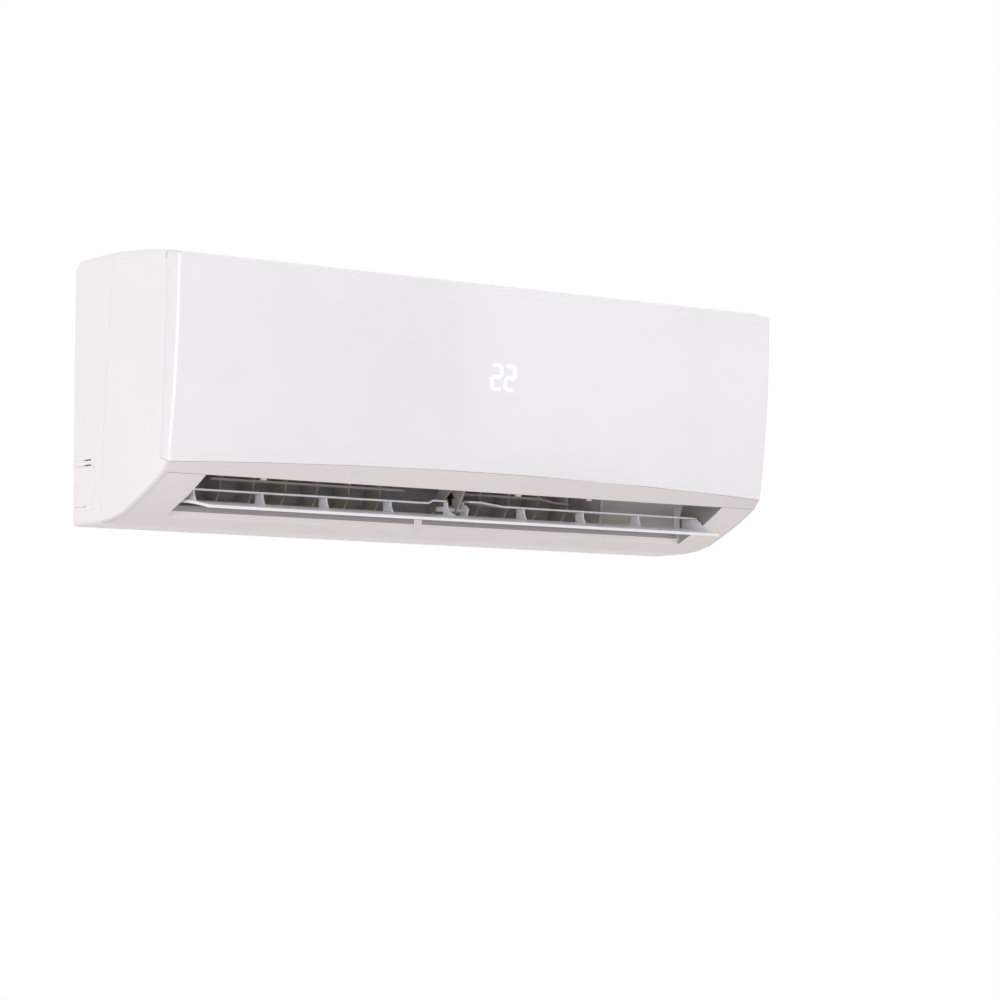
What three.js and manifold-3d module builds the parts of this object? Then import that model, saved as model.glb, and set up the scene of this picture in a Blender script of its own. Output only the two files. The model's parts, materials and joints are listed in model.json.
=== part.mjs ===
// Indoor unit of a split air conditioner.
// Millimetres, +Z up. X runs along the unit, to the right as seen from the room.
// The wall is the plane y = 0 and the room is on its -Y side.
// Section outlines are lists of [depth from the wall, height above the unit's lowest point].

import * as THREE from "three";
import { mergeVertices } from "three/addons/utils/BufferGeometryUtils.js";
import Module from "manifold-3d";

const wasm = await Module();
wasm.setup();

// Overall size
const width = 805;
const depth = 194.2;
const height = 280;

// Walls and clearances
const wall = 2.5;
const rib = 2;
const touch = 0.3;
const seamGap = 0.3;
const panelGap = 0.4;
const cornerRadius = 5;
const lapThickness = 1.4;
const lapReach = 3;
const overrun = 40;
const weld = 0.0001;

// Air outlet and duct
const cheekWidth = 52.5;
const surroundInset = 6;
const bearingRoom = 67.5;
const machineRoom = 170.5;

// Cross-flow fan
const fanRadius = 46;
const fanBladeChord = 12;
const fanBladeThickness = 1.4;
const fanBladeCount = 24;
const fanRingCount = 5;
const fanRingThickness = 2;
const fanGap = 7;
const fanEndGap = 5;
const shaftRadius = 4;

// Heat exchanger and filters
const coilThickness = 20;
const filterThickness = 2.6;

// Louvre, vanes and their pins
const louvreThickness = 3;
const postDepth = 18;
const vaneThickness = 1.6;
const vanePitch = 41.1;
const vanePinRadius = 2;
const pegRadius = 1.2;

// Sides of round stretches
const fineSides = 36;
const roundSides = 20;
const smallSides = 8;
const edgeSteps = 3;

const halfWidth = width / 2;
const insideHalf = halfWidth - wall;
const mouthHalf = halfWidth - cheekWidth;
const surroundHalf = halfWidth - surroundInset;
const ductLeft = -halfWidth + bearingRoom;
const ductRight = halfWidth - machineRoom;

// Places in the section, as shares of the depth and the height
const place = ([d, z]) => [d * depth, z * height];
const bottomShares = [
  [0, 0.004],
  [0.26, 0.006],
  [0.373, 0.0146],
  [0.481, 0.0325],
  [0.597, 0.069],
  [0.698, 0.1004],
  [0.807, 0.1429],
  [0.8671, 0.1693],
];
const topShares = [
  [0.875, 0.9714],
  [0.675, 0.9875],
  [0.386, 1],
  [0.147, 0.9964],
  [0.031, 0.991],
  [0, 0.9714],
];
const rearSeamShares = [
  [0.2703, 0],
  [0.2703, 0.0372],
  [0.2775, 0.1286],
  [0.3141, 0.5314],
  [0.3574, 0.8918],
  [0.3862, 0.984],
  [0.3862, 1],
];
const [panelTop, panelFoot, panelFootRear, panelSeam] = [
  [1, 0.95],
  [0.9135, 0.2068],
  [0.8522, 0.2232],
  [0.8908, 0.7857],
].map(place);
const frameTop = place(topShares[0]);
const panelSeamTopShare = 0.885;
const panelSeamTop = [0, 1].map((axis) =>
  THREE.MathUtils.lerp(panelTop[axis], frameTop[axis], panelSeamTopShare),
);
const [chinFoot, mouthFront, mouthRear, lipTop] = [
  [0.8671, 0.1693],
  [0.8594, 0.1693],
  [0.4794, 0.0321],
  [0.4753, 0.0779],
].map(place);
const lipSeamShare = 0.0561;
const lipSeam = lipSeamShare * height;
const [fanCentre, louvrePivot, vaneFoot, panelPivot] = [
  [0.412, 0.4],
  [0.6102, 0.1107],
  [0.4068, 0.0786],
  [0.9089, 0.95],
].map(place);
const floorZ = vaneFoot[1];
const panelLeanPower = 2.2;
const panelFrontSteps = 10;
const archRise = 9.8;
const archSpans = 14;

// Solids from three.js geometry
const axisX = new THREE.Vector3(1, 0, 0);
const axisY = new THREE.Vector3(0, 1, 0);
const axisZ = new THREE.Vector3(0, 0, 1);
const towardsRoom = new THREE.Vector3(0, -1, 0);

function solid(geometry) {
  const bare = geometry.clone();
  bare.deleteAttribute("normal");
  bare.deleteAttribute("uv");
  const welded = mergeVertices(bare, weld);
  return new wasm.Manifold(
    new wasm.Mesh({
      numProp: 3,
      vertProperties: new Float32Array(welded.attributes.position.array),
      triVerts: new Uint32Array(welded.index.array),
    }),
  );
}

function geometryOf(shape) {
  const mesh = shape.getMesh();
  const geometry = new THREE.BufferGeometry();
  geometry.setAttribute("position", new THREE.BufferAttribute(mesh.vertProperties, 3));
  geometry.setIndex(new THREE.BufferAttribute(mesh.triVerts, 1));
  geometry.computeVertexNormals();
  return geometry;
}

const joined = (first, ...rest) => rest.reduce((whole, next) => whole.add(next), first);

function extrusion(points, length) {
  const shape = new THREE.Shape(points.map(([u, v]) => new THREE.Vector2(u, v)));
  return new THREE.ExtrudeGeometry(shape, { depth: length, bevelEnabled: false });
}

// A section outline swept along X, with its end edges rounded
function roundedPrism(outline, from, to, radius) {
  const shape = new THREE.Shape(outline.map(([d, z]) => new THREE.Vector2(-d, z)));
  const geometry = new THREE.ExtrudeGeometry(shape, {
    depth: to - from - 2 * radius,
    bevelThickness: radius,
    bevelSize: radius,
    bevelOffset: -radius,
    bevelSegments: edgeSteps,
  });
  geometry.applyMatrix4(new THREE.Matrix4().makeBasis(axisY, axisZ, axisX));
  return solid(geometry.translate(from + radius, 0, 0));
}

// A section outline swept along X
function prism(outline, from, to) {
  const geometry = extrusion(outline.map(([d, z]) => [-d, z]), to - from);
  geometry.applyMatrix4(new THREE.Matrix4().makeBasis(axisY, axisZ, axisX));
  return solid(geometry.translate(from, 0, 0));
}

// A section outline that changes along X, from a list of [x, outline]
function lofted(stations) {
  const section = stations[0][1].map(([d, z]) => new THREE.Vector2(-d, z));
  const turned = THREE.ShapeUtils.area(section) < 0;
  const rows = stations.map(([x, outline]) => {
    const row = outline.map(([d, z]) => [x, -d, z]);
    return turned ? row.reverse() : row;
  });
  const flat = rows[0].map(([, y, z]) => new THREE.Vector2(y, z));
  const cap = THREE.ShapeUtils.triangulateShape(flat, []);
  const count = flat.length;
  const last = count * (rows.length - 1);
  const index = cap.flatMap(([a, b, c]) => [a, c, b, a + last, b + last, c + last]);
  for (let i = 0; i < last; i++) {
    const next = i % count === count - 1 ? i + 1 - count : i + 1;
    index.push(i, next, next + count, i, next + count, i + count);
  }
  const geometry = new THREE.BufferGeometry();
  geometry.setAttribute("position", new THREE.Float32BufferAttribute(rows.flat(2), 3));
  geometry.setIndex(index);
  return solid(geometry);
}

// An outline of [x, z] points swept from one depth to another
function plate(outline, from, to) {
  const geometry = extrusion(outline, to - from);
  geometry.applyMatrix4(new THREE.Matrix4().makeBasis(axisX, axisZ, towardsRoom));
  return solid(geometry.translate(0, -from, 0));
}

// A plan outline of [x, depth] points swept from one height to another
function column(outline, from, to) {
  const geometry = extrusion(outline.map(([x, d]) => [x, -d]), to - from);
  return solid(geometry.translate(0, 0, from));
}

function box([xFrom, xTo], [dFrom, dTo], [zFrom, zTo]) {
  const geometry = new THREE.BoxGeometry(xTo - xFrom, dTo - dFrom, zTo - zFrom);
  geometry.translate((xFrom + xTo) / 2, -(dFrom + dTo) / 2, (zFrom + zTo) / 2);
  return solid(geometry);
}

function rod([xFrom, xTo], [d, z], radius, sides = roundSides) {
  const geometry = new THREE.CylinderGeometry(radius, radius, xTo - xFrom, sides);
  geometry.rotateZ(Math.PI / 2).translate((xFrom + xTo) / 2, -d, z);
  return solid(geometry);
}

function stud([x, z], [dFrom, dTo], radius, sides = smallSides) {
  const geometry = new THREE.CylinderGeometry(radius, radius, dTo - dFrom, sides);
  return solid(geometry.translate(x, -(dFrom + dTo) / 2, z));
}

function pillar([x, d], [zFrom, zTo], radius, sides = smallSides) {
  const geometry = new THREE.CylinderGeometry(radius, radius, zTo - zFrom, sides);
  return solid(geometry.rotateX(Math.PI / 2).translate(x, -d, (zFrom + zTo) / 2));
}

// A round tube through [x, depth, height] corners, with its bends rounded
function tube(corners, radius, bend, sides, steps) {
  const points = corners.map(([x, d, z]) => new THREE.Vector3(x, -d, z));
  const path = new THREE.CurvePath();
  let last = points[0];
  for (let i = 1; i < points.length - 1; i++) {
    const before = points[i].clone().sub(points[i - 1]).setLength(bend);
    const after = points[i + 1].clone().sub(points[i]).setLength(bend);
    const enter = points[i].clone().sub(before);
    const leave = points[i].clone().add(after);
    path.add(new THREE.LineCurve3(last, enter));
    path.add(new THREE.QuadraticBezierCurve3(enter, points[i], leave));
    last = leave;
  }
  path.add(new THREE.LineCurve3(last, points.at(-1)));
  const ring = new THREE.Shape();
  ring.absarc(0, 0, radius, 0, 2 * Math.PI);
  const geometry = new THREE.ExtrudeGeometry(ring, {
    steps,
    curveSegments: sides / 2,
    extrudePath: path,
  });
  return solid(geometry);
}

// Section outlines
const polar = ([d, z], radius, degrees) => {
  const angle = THREE.MathUtils.degToRad(degrees);
  return [d + radius * Math.cos(angle), z + radius * Math.sin(angle)];
};

function arc(centre, radius, fromDegrees, toDegrees, steps) {
  return Array.from({ length: steps + 1 }, (_, i) =>
    polar(centre, radius, THREE.MathUtils.lerp(fromDegrees, toDegrees, i / steps)),
  );
}

// Moves each edge of a closed outline inwards, or outwards where the distance is negative
function inset(points, distance) {
  const area = THREE.ShapeUtils.area(points.map(([u, v]) => new THREE.Vector2(u, v)));
  const turn = Math.sign(area);
  const inward = ([u0, v0], [u1, v1]) => {
    const length = Math.hypot(u1 - u0, v1 - v0);
    return [(-turn * (v1 - v0)) / length, (turn * (u1 - u0)) / length];
  };
  return points.map((point, i) => {
    const before = inward(points.at(i - 1), point);
    const after = inward(point, points[(i + 1) % points.length]);
    const miter = distance / (1 + before[0] * after[0] + before[1] * after[1]);
    return [point[0] + (before[0] + after[0]) * miter, point[1] + (before[1] + after[1]) * miter];
  });
}

// A strip of even thickness on the left of an open line of points
function strip(points, thickness) {
  const side = points.map((point, i) => {
    const from = points[Math.max(i - 1, 0)];
    const to = points[Math.min(i + 1, points.length - 1)];
    const length = Math.hypot(to[0] - from[0], to[1] - from[1]);
    const across = [-(to[1] - from[1]) / length, (to[0] - from[0]) / length];
    return [point[0] + across[0] * thickness, point[1] + across[1] * thickness];
  });
  return [...points, ...side.reverse()];
}

const shifted = (points, dShift, zShift = 0) => points.map(([d, z]) => [d + dShift, z + zShift]);

// Depth of the panel's front at a height
function panelFrontAt(z) {
  const lean = Math.pow((panelTop[1] - z) / (panelTop[1] - panelFoot[1]), panelLeanPower);
  return panelTop[0] - (panelTop[0] - panelFoot[0]) * lean;
}

// Front of the panel, from its foot up to its top edge
const panelFront = Array.from({ length: panelFrontSteps + 1 }, (_, i) => {
  const z = THREE.MathUtils.lerp(panelFoot[1], panelTop[1], i / panelFrontSteps);
  return [panelFrontAt(z), z];
});
const bottomLine = bottomShares.map(place);
const silhouette = [...bottomLine, ...panelFront, ...topShares.map(place)];
const cavityOutline = inset(silhouette, wall).map(([d, z]) => [d < 2 * wall ? -overrun : d, z]);
const rearSeam = rearSeamShares.map(place);

// The whole casing as one closed shell, which the casing pieces are cut from
const casingEnds = [-halfWidth, halfWidth];
const beyondWall = [silhouette.at(-1), silhouette[0]].map(([, z]) => [-overrun, z]);
const hull = roundedPrism([...silhouette, ...beyondWall], ...casingEnds, cornerRadius).intersect(
  box(casingEnds, [0, depth], [0, height]),
);
const shell = hull.subtract(prism(cavityOutline, -insideHalf, insideHalf));

// Inside of the casing, drawn in by a distance from its inner faces
function cavity(distance) {
  const outline = inset(silhouette, wall + distance).map(([d, z]) => [d < 3 * wall ? -overrun : d, z]);
  return prism(outline, -insideHalf + distance, insideHalf - distance);
}

// Lip on the inner face of a casing wall that closes a seam from behind
function lap(rootZone, lipZone) {
  const inner = cavity(touch + lapThickness);
  const root = cavity(-wall / 2).intersect(rootZone);
  return root.add(cavity(touch).intersect(lipZone)).subtract(inner);
}

const quarterTurn = 90;

function roundedRectangle([xFrom, xTo], [zFrom, zTo], radius) {
  const corners = [
    [xTo - radius, zTo - radius],
    [xFrom + radius, zTo - radius],
    [xFrom + radius, zFrom + radius],
    [xTo - radius, zFrom + radius],
  ];
  return corners.flatMap((corner, i) => arc(corner, radius, i * quarterTurn, (i + 1) * quarterTurn, 4));
}

const panelSection = [panelFootRear, ...panelFront, panelSeamTop, panelSeam];

// The panel's foot is arched: how far it rises at a place along the unit
const archAt = (x) => archRise * Math.max(0, 1 - (x / halfWidth) ** 2);
const archPlaces = [
  -halfWidth - overrun,
  ...Array.from({ length: archSpans + 1 }, (_, i) =>
    THREE.MathUtils.lerp(-halfWidth, halfWidth, i / archSpans),
  ),
  halfWidth + overrun,
];

// Front edge of the panel's foot after a rise
function footFront(rise) {
  const [low, high] = panelFront;
  const z = low[1] + rise;
  return [THREE.MathUtils.mapLinear(z, low[1], high[1], low[0], high[0]), z];
}

// Everything below the panel's underside, moved up by a distance square to it
function belowPanel(distance) {
  const run = panelFoot[0] - panelFootRear[0];
  const lift = (distance * Math.hypot(run, panelFoot[1] - panelFootRear[1])) / run;
  return lofted(
    archPlaces.map((x) => {
      const front = footFront(archAt(x));
      const rear = panelFootRear[1] + archAt(x) + lift;
      return [
        x,
        [
          [panelFootRear[0] - overrun, rear],
          [panelFootRear[0], rear],
          [front[0], front[1] + lift],
          [front[0] + overrun, front[1] + lift],
          [front[0] + overrun, -overrun],
          [panelFootRear[0] - overrun, -overrun],
        ],
      ];
    }),
  );
}

// The panel's section grown by a gap, with its foot ready to be trimmed to the arch
function panelBlank(gap) {
  return inset(panelSection, -gap).map(([d, z], i) => (i < 2 ? [d, z - wall] : [d, z]));
}
const surroundZone = [
  [rearSeam[0][0], -overrun],
  [chinFoot[0] + overrun, -overrun],
  [chinFoot[0] + overrun, chinFoot[1]],
  [rearSeam[0][0], chinFoot[1]],
];

// The group has its origin at the middle of the wall plate's back
const unit = new THREE.Group();
const plateCentre = height / 2;
unit.position.z = -plateCentre;
const part = new THREE.Group();
part.add(unit);

const finish = (color, roughness, metalness = 0) =>
  new THREE.MeshStandardMaterial({ color, roughness, metalness });
const materials = {
  gloss: finish(0xedebef, 0.22),
  casing: finish(0xefeced, 0.4),
  lower: finish(0xe2dad7, 0.45),
  louvre: finish(0xe6e5ea, 0.35),
  duct: finish(0x56524f, 0.5),
  vane: finish(0x9a938a, 0.45),
  fan: finish(0x4a4a4c, 0.5),
  mesh: finish(0x8f9498, 0.7),
  fins: finish(0xb9bec2, 0.35, 0.8),
  copper: finish(0xb87048, 0.35, 0.9),
  brass: finish(0xc9a558, 0.35, 0.9),
  steel: finish(0xb4b8ba, 0.35, 0.85),
  rubber: finish(0x2b2b2c, 0.8),
  foam: finish(0xe8e6e0, 0.8),
  board: finish(0x2f6b3c, 0.5),
  box: finish(0xd8d6d2, 0.5),
  lens: finish(0xd9dade, 0.2),
};

function add(name, shape, material, group = unit) {
  const mesh = new THREE.Mesh(geometryOf(shape), materials[material]);
  mesh.name = name;
  group.add(mesh);
}

// Wall plate: pressed steel sheet with two ribs, screw holes and two hooks
const plateThickness = 1.2;
const plateSize = [520, 180];
const plateRibHeight = 3;
const plateRibWidth = 14;
const screwHole = 3;
const plateHoleRise = 27;
const plateHoleShares = [-0.857, -0.571, -0.286, 0.286, 0.571, 0.857];
const hookSize = 14;
const hookRise = 9;
const backWallFrom = 7;
const hookSpread = 180;
const plateHalf = plateSize.map((size) => size / 2);
const hookFoot = plateCentre + plateHalf[1] - hookRise;

function wallPlate() {
  const across = [-plateHalf[0], plateHalf[0]];
  const up = [plateCentre - plateHalf[1], plateCentre + plateHalf[1]];
  const sheet = plate(roundedRectangle(across, up, cornerRadius), 0, plateThickness);
  const ribs = [-1, 1].map((side) => {
    const z = plateCentre + (side * plateHalf[1]) / 2;
    const half = plateRibWidth / 2;
    const reach = plateHalf[0] - plateRibWidth;
    return box([-reach, reach], [0, plateRibHeight], [z - half, z + half]);
  });
  const hooks = [-1, 1].flatMap((side) => {
    const x = side * hookSpread;
    const width = [x - hookSize / 2, x + hookSize / 2];
    const tipFrom = backWallFrom + wall + touch;
    const tipTo = tipFrom + plateThickness;
    return [
      box(width, [0, tipTo], [hookFoot, hookFoot + plateThickness]),
      box(width, [tipFrom, tipTo], [hookFoot, hookFoot + hookRise]),
    ];
  });
  const holes = plateHoleShares.flatMap((acrossShare) =>
    [-1, 1].map((side) => {
      const z = plateCentre + side * plateHoleRise;
      return stud([acrossShare * plateHalf[0], z], [-overrun, overrun], screwHole);
    }),
  );
  return holes.reduce((whole, hole) => whole.subtract(hole), joined(sheet, ...ribs, ...hooks));
}

// Scroll behind the fan, which runs on as the floor of the outlet duct to its lip
const scrollStart = 120;
const scrollEnd = 258;
const scrollGrowth = 36;
const scrollPower = 2.2;
const scrollSteps = 14;

function scrollLine(outside) {
  return Array.from({ length: scrollSteps + 1 }, (_, i) => {
    const share = i / scrollSteps;
    const radius = fanRadius + fanGap + scrollGrowth * Math.pow(share, scrollPower) + outside;
    return polar(fanCentre, radius, THREE.MathUtils.lerp(scrollStart, scrollEnd, share));
  });
}
const floorJoint = [vaneFoot[0] - wall, floorZ];
const floorStartShare = 0.2;
const floorStart = [0, 1].map((axis) =>
  THREE.MathUtils.lerp(
    scrollLine(wall / 2).at(-1)[axis],
    floorJoint[axis] - (axis * wall) / 2,
    floorStartShare,
  ),
);
const lip = [
  lipTop,
  [mouthRear[0], floorZ - wall],
  [mouthRear[0], lipSeam + seamGap / 2],
  [mouthRear[0] - wall, lipSeam + seamGap / 2],
  [mouthRear[0] - wall, floorZ - wall],
];
const floorOutline = [
  ...scrollLine(0).slice(-2),
  floorJoint,
  ...lip,
  [floorJoint[0], floorZ - wall],
  ...scrollLine(wall).slice(-2).reverse(),
];

// Rear chassis: back wall, side walls, scroll, drip trough and the walls at both ends of the fan
const backWall = [backWallFrom, backWallFrom + wall];
const rearRim = backWall[1];
const channelTopShare = 0.2;
const troughShare = 0.643;
const troughLip = 12;
const hookSlotGap = 1;
const lapTopShare = 0.9;
const grilleFloorShare = 0.94;
const ductWallShares = [
  [0.4753, 0.0786],
  [0.5, 0.225],
  [0.625, 0.325],
  [0.625, 0.43],
  [0.49, 0.59],
];
const pipeOpening = [42.6, 42];
const pipeOpeningFoot = 20.6;
const pipeCoverGap = 0.3;
const pipeCoverShares = [
  [0, 0],
  [0.78, 0],
  [0.87, 0.08],
  [0.96, 0.22],
  [1, 0.4],
  [1, 0.87],
  [0.93, 0.96],
  [0.82, 1],
  [0, 1],
];

// Outline of the knock-out for pipes in a side wall, grown by a clearance
function pipeCoverOutline(clearance) {
  const outline = pipeCoverShares.map(([dShare, zShare]) => [
    dShare * pipeOpening[0],
    pipeOpeningFoot + zShare * pipeOpening[1],
  ]);
  return clearance ? inset(outline, -clearance).map(([d, z]) => [d < 0 ? -overrun : d, z]) : outline;
}

// Slots above, at the head and at the foot of the knock-out, with a scored line behind the upper one
const slotSpan = [20.3, 34];
const slotHeight = 1.5;
const slotRises = [20.3, 63.1, 68.5];
const scoreWidth = 0.5;
const scoreDepth = 0.7;

function pipeCoverSlots(side) {
  const across = [side * insideHalf - wall, side * insideHalf + 2 * wall];
  const slots = slotRises.map((z) => box(across, slotSpan, [z - slotHeight / 2, z + slotHeight / 2]));
  const upper = slotRises.at(-1);
  const faces = [side * (halfWidth - scoreDepth), side * (halfWidth + scoreDepth)].sort((a, b) => a - b);
  return [...slots, box(faces, [-scoreDepth, slotSpan[0]], [upper - scoreWidth / 2, upper + scoreWidth / 2])];
}

const bearingHolderRadius = 16;
const bearingRadius = 9;
const bearingLength = 10;
const motorRadius = 40;
const motorLength = 56;
const motorOffset = 12;
const motorSeatWidth = 36;
const motorSeatWall = 6;
const motorFrom = ductRight + motorOffset;
const motorSeat = [motorFrom + motorOffset, motorFrom + motorOffset + motorSeatWidth];
const floorEndGap = 0.7;
const floorEnd = mouthHalf - wall - floorEndGap;
const flareThickness = 2;
const flareTopShare = 0.25;

function ductWall(from, hole) {
  const start = scrollLine(0)[0];
  const riserMiddle = [start[0] - wall / 2, start[1]];
  const scroll = scrollLine(wall / 2).slice(1, -1);
  const outline = [riserMiddle, ...scroll, floorStart, ...ductWallShares.map(place)];
  return prism(outline, from, from + wall).subtract(rod([from - wall, from + 2 * wall], fanCentre, hole));
}

// Guide wall that leads the air from the end of the fan to the end of the mouth
function flare(side, from) {
  const rear = scrollLine(0).at(-1)[0];
  const inner = side * from;
  const outline = [
    [inner, rear],
    [side * floorEnd, lipTop[0] - 2 * flareThickness],
    [side * floorEnd, lipTop[0] - flareThickness],
    [side * (floorEnd - wall), lipTop[0] - flareThickness],
    [inner - side * wall, rear + flareThickness],
    [inner - side * wall, rear],
  ];
  return column(side > 0 ? outline : outline.reverse(), floorZ - wall / 2, flareTopShare * height);
}

const controlBoxEndGap = 10;
const controlBoxWidth = 78;
const controlBoxRear = 40;
const controlBoxFoot = 95;
const controlBoxTall = 150;
const controlBoxX = [halfWidth - controlBoxEndGap - controlBoxWidth, halfWidth - controlBoxEndGap];
const controlBoxDepth = [controlBoxRear, controlBoxRear + controlBoxWidth];
const controlBoxZ = [controlBoxFoot, controlBoxFoot + controlBoxTall];
const bossShares = [0.15, 0.85];
const bossWidth = 16;

function controlBoxBosses() {
  const middle = (controlBoxX[0] + controlBoxX[1]) / 2;
  return bossShares.map((share) => {
    const z = THREE.MathUtils.lerp(...controlBoxZ, share);
    const half = bossWidth / 2;
    const span = [rearRim - wall, controlBoxDepth[0] - touch];
    return box([middle - half, middle + half], span, [z - half, z + half]);
  });
}

// Screw through the lip of the mouth, behind a small flap
const screwX = -25.3;
const screwRadius = 1.5;
const screwHead = 2.5;
const screwHeadHeight = 1.6;
const screwLength = 22;
const screwBossHalf = 4;
const capPlate = [10.6, 10.4];
const capThickness = 0.8;
const capPlug = [7, 5.2];
const capRise = 1.3;
const capFoot = mouthRear[1] + capRise;
const capPocket = 4.7;
const screwZ = capFoot + capPlug[1] / 2;
const pocketFloor = mouthRear[0] - capPocket;
const centred = (middle, size) => [middle - size / 2, middle + size / 2];

function rearChassis() {
  const behindSeam = (shift) => {
    const seam = shifted(rearSeam, shift);
    const above = [seam.at(-1)[0], height + overrun];
    return prism([[-overrun, -overrun], ...seam, above, [-overrun, height + overrun]], ...casingEnds);
  };
  const lapZone = behindSeam(lapReach)
    .subtract(behindSeam(-lapReach))
    .intersect(box(casingEnds, [0, depth], [0, lapTopShare * height]));
  const skin = shell
    .intersect(behindSeam(0))
    .subtract(
      box([-insideHalf, insideHalf], [rearRim, depth], [grilleFloorShare * height, height + overrun]),
    );
  const top = height * (1 - wall / height) - wall;
  const backRise = [channelTopShare * height, top];
  const back = box([-insideHalf - wall / 2, insideHalf + wall / 2], backWall, backRise).intersect(hull);
  const sheetEnds = [ductLeft, ductRight + wall / 2];
  const sheet = prism([...scrollLine(0), ...scrollLine(wall).reverse()], ...sheetEnds);
  const start = scrollLine(0)[0];
  const troughZ = troughShare * height;
  const riser = box(sheetEnds, [start[0] - wall, start[0]], [start[1] - wall / 2, troughZ + troughLip]);
  const trough = box(sheetEnds, [rearRim - wall / 2, start[0] - wall / 2], [troughZ, troughZ + wall]);
  const body = joined(
    skin,
    lap(lapZone.intersect(behindSeam(-touch)), lapZone),
    back,
    sheet,
    riser,
    trough,
    prism(floorOutline, -floorEnd, floorEnd),
    ductWall(ductLeft - wall / 2, bearingHolderRadius + touch),
    ductWall(ductRight, shaftRadius + 2 * touch),
    flare(-1, -ductLeft + wall / 4),
    flare(1, ductRight + (3 * wall) / 4),
    motorBlock(),
    ...controlBoxBosses(),
    box(
      centred(screwX, 2 * screwBossHalf),
      [pocketFloor - rib - touch - screwLength, pocketFloor - rib - touch],
      [screwZ - screwRadius - rib / 2, floorZ - wall / 2],
    ),
  );
  const cuts = [
    ...[-halfWidth, halfWidth].map((x) =>
      prism(pipeCoverOutline(pipeCoverGap), x - 2 * wall, x + 2 * wall),
    ),
    ...[-1, 1].map((side) => {
      const half = hookSize / 2 + hookSlotGap;
      const x = side * hookSpread;
      const rise = [hookFoot - hookRise, hookFoot + plateThickness + touch];
      return box([x - half, x + half], [0, 2 * backWall[1]], rise);
    }),
    stud([screwX, screwZ], [pocketFloor - rib - screwLength, pocketFloor], screwRadius + touch),
    ...[-1, 1].flatMap((side) => pipeCoverSlots(side)),
    ...vanePlaces.map((x) => vaneRod(x, vanePinRadius + touch, -2 * wall, wall)),
  ];
  return cuts.reduce((whole, cut) => whole.subtract(cut), body);
}

// Cradle on the back wall that holds the rear half of the fan motor
function motorBlock() {
  const reach = motorRadius + motorSeatWall;
  const seatRise = [fanCentre[1] - reach, fanCentre[1] + reach];
  const block = box(motorSeat, [rearRim - wall / 2, fanCentre[0]], seatRise);
  const boreSpan = [motorSeat[0] - wall, motorSeat[1] + wall];
  return block.subtract(rod(boreSpan, fanCentre, motorRadius + touch, fineSides));
}

// Front frame: side walls, intake grille, chin and the face behind the panel with its two filter windows
const faceThickness = 2.5;
const faceShares = [
  [0.8435, 0.2214],
  [0.8816, 0.7857],
  [0.8785, 0.953],
];
const chinShares = [
  [0.858, 0.183],
  [0.863, 0.1725],
  [0.8702, 0.1725],
  [0.8888, 0.193],
  [0.8497, 0.2018],
];
const mullionCentre = 12.5;
const mullionWidth = 65;
const windowLeft = -mouthHalf;
const windowLap = 3;
const windowRight = ductRight + windowLap;
const windowShares = [0.329, 0.85];
const grilleRows = 9;
const grilleColumns = 6;
const grilleBar = 4;
const grilleRib = 6;
const grilleEnd = 24;
const hingeRadius = 1.6;
const hingeEarRadius = 3.4;
const hingeEarInset = [11.5, 8.5];
const hingeEar = hingeEarInset.map((distance) => halfWidth - distance);
const hingeSweep = 6;
const buttonInset = 67.5;
const buttonRise = 92;
const buttonPlace = [halfWidth - buttonInset, buttonRise];
const buttonRadius = 5;
const buttonGap = 0.4;

// Depth of the face's back at a height between its foot and its bend
function faceBack(z) {
  const [low, high] = faceShares.map(place);
  return THREE.MathUtils.lerp(low[0], high[0], (z - low[1]) / (high[1] - low[1])) - faceThickness;
}

function faceSection() {
  const face = faceShares.map(place);
  const back = shifted(face, -faceThickness).reverse();
  const chin = chinShares.map(place);
  return [...chin.slice(1), ...face, ...back, chin[0]];
}

function intakeSlots() {
  const rowPitch = (panelSeam[0] - rearRim - grilleEnd) / grilleRows;
  const columnPitch = (2 * insideHalf - 2 * grilleEnd) / grilleColumns;
  const slots = [];
  for (let row = 0; row < grilleRows; row++) {
    for (let column = 0; column < grilleColumns; column++) {
      const d = rearRim + grilleEnd / 2 + row * rowPitch;
      const x = -insideHalf + grilleEnd + column * columnPitch;
      slots.push(
        box(
          [x + grilleRib / 2, x + columnPitch - grilleRib / 2],
          [d + grilleBar / 2, d + rowPitch - grilleBar / 2],
          [grilleFloorShare * height, height + overrun],
        ),
      );
    }
  }
  return slots;
}

function hingeEars() {
  const [low, high] = [faceShares[1], faceShares[2]].map(place);
  const outline = [
    [low[0] - faceThickness / 2, panelPivot[1] - 4 * hingeEarRadius],
    [low[0], panelPivot[1] - 4 * hingeEarRadius],
    ...arc(panelPivot, hingeEarRadius, -60, 90, 6),
    [high[0] - faceThickness / 2, panelPivot[1] + hingeEarRadius / 2],
  ];
  return [-1, 1].map((side) => {
    const ends = hingeEar.map((x) => side * x).sort((a, b) => a - b);
    const hole = rod([ends[0] - wall, ends[1] + wall], panelPivot, hingeRadius + touch, smallSides);
    return prism(outline, ...ends).subtract(hole);
  });
}

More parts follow.
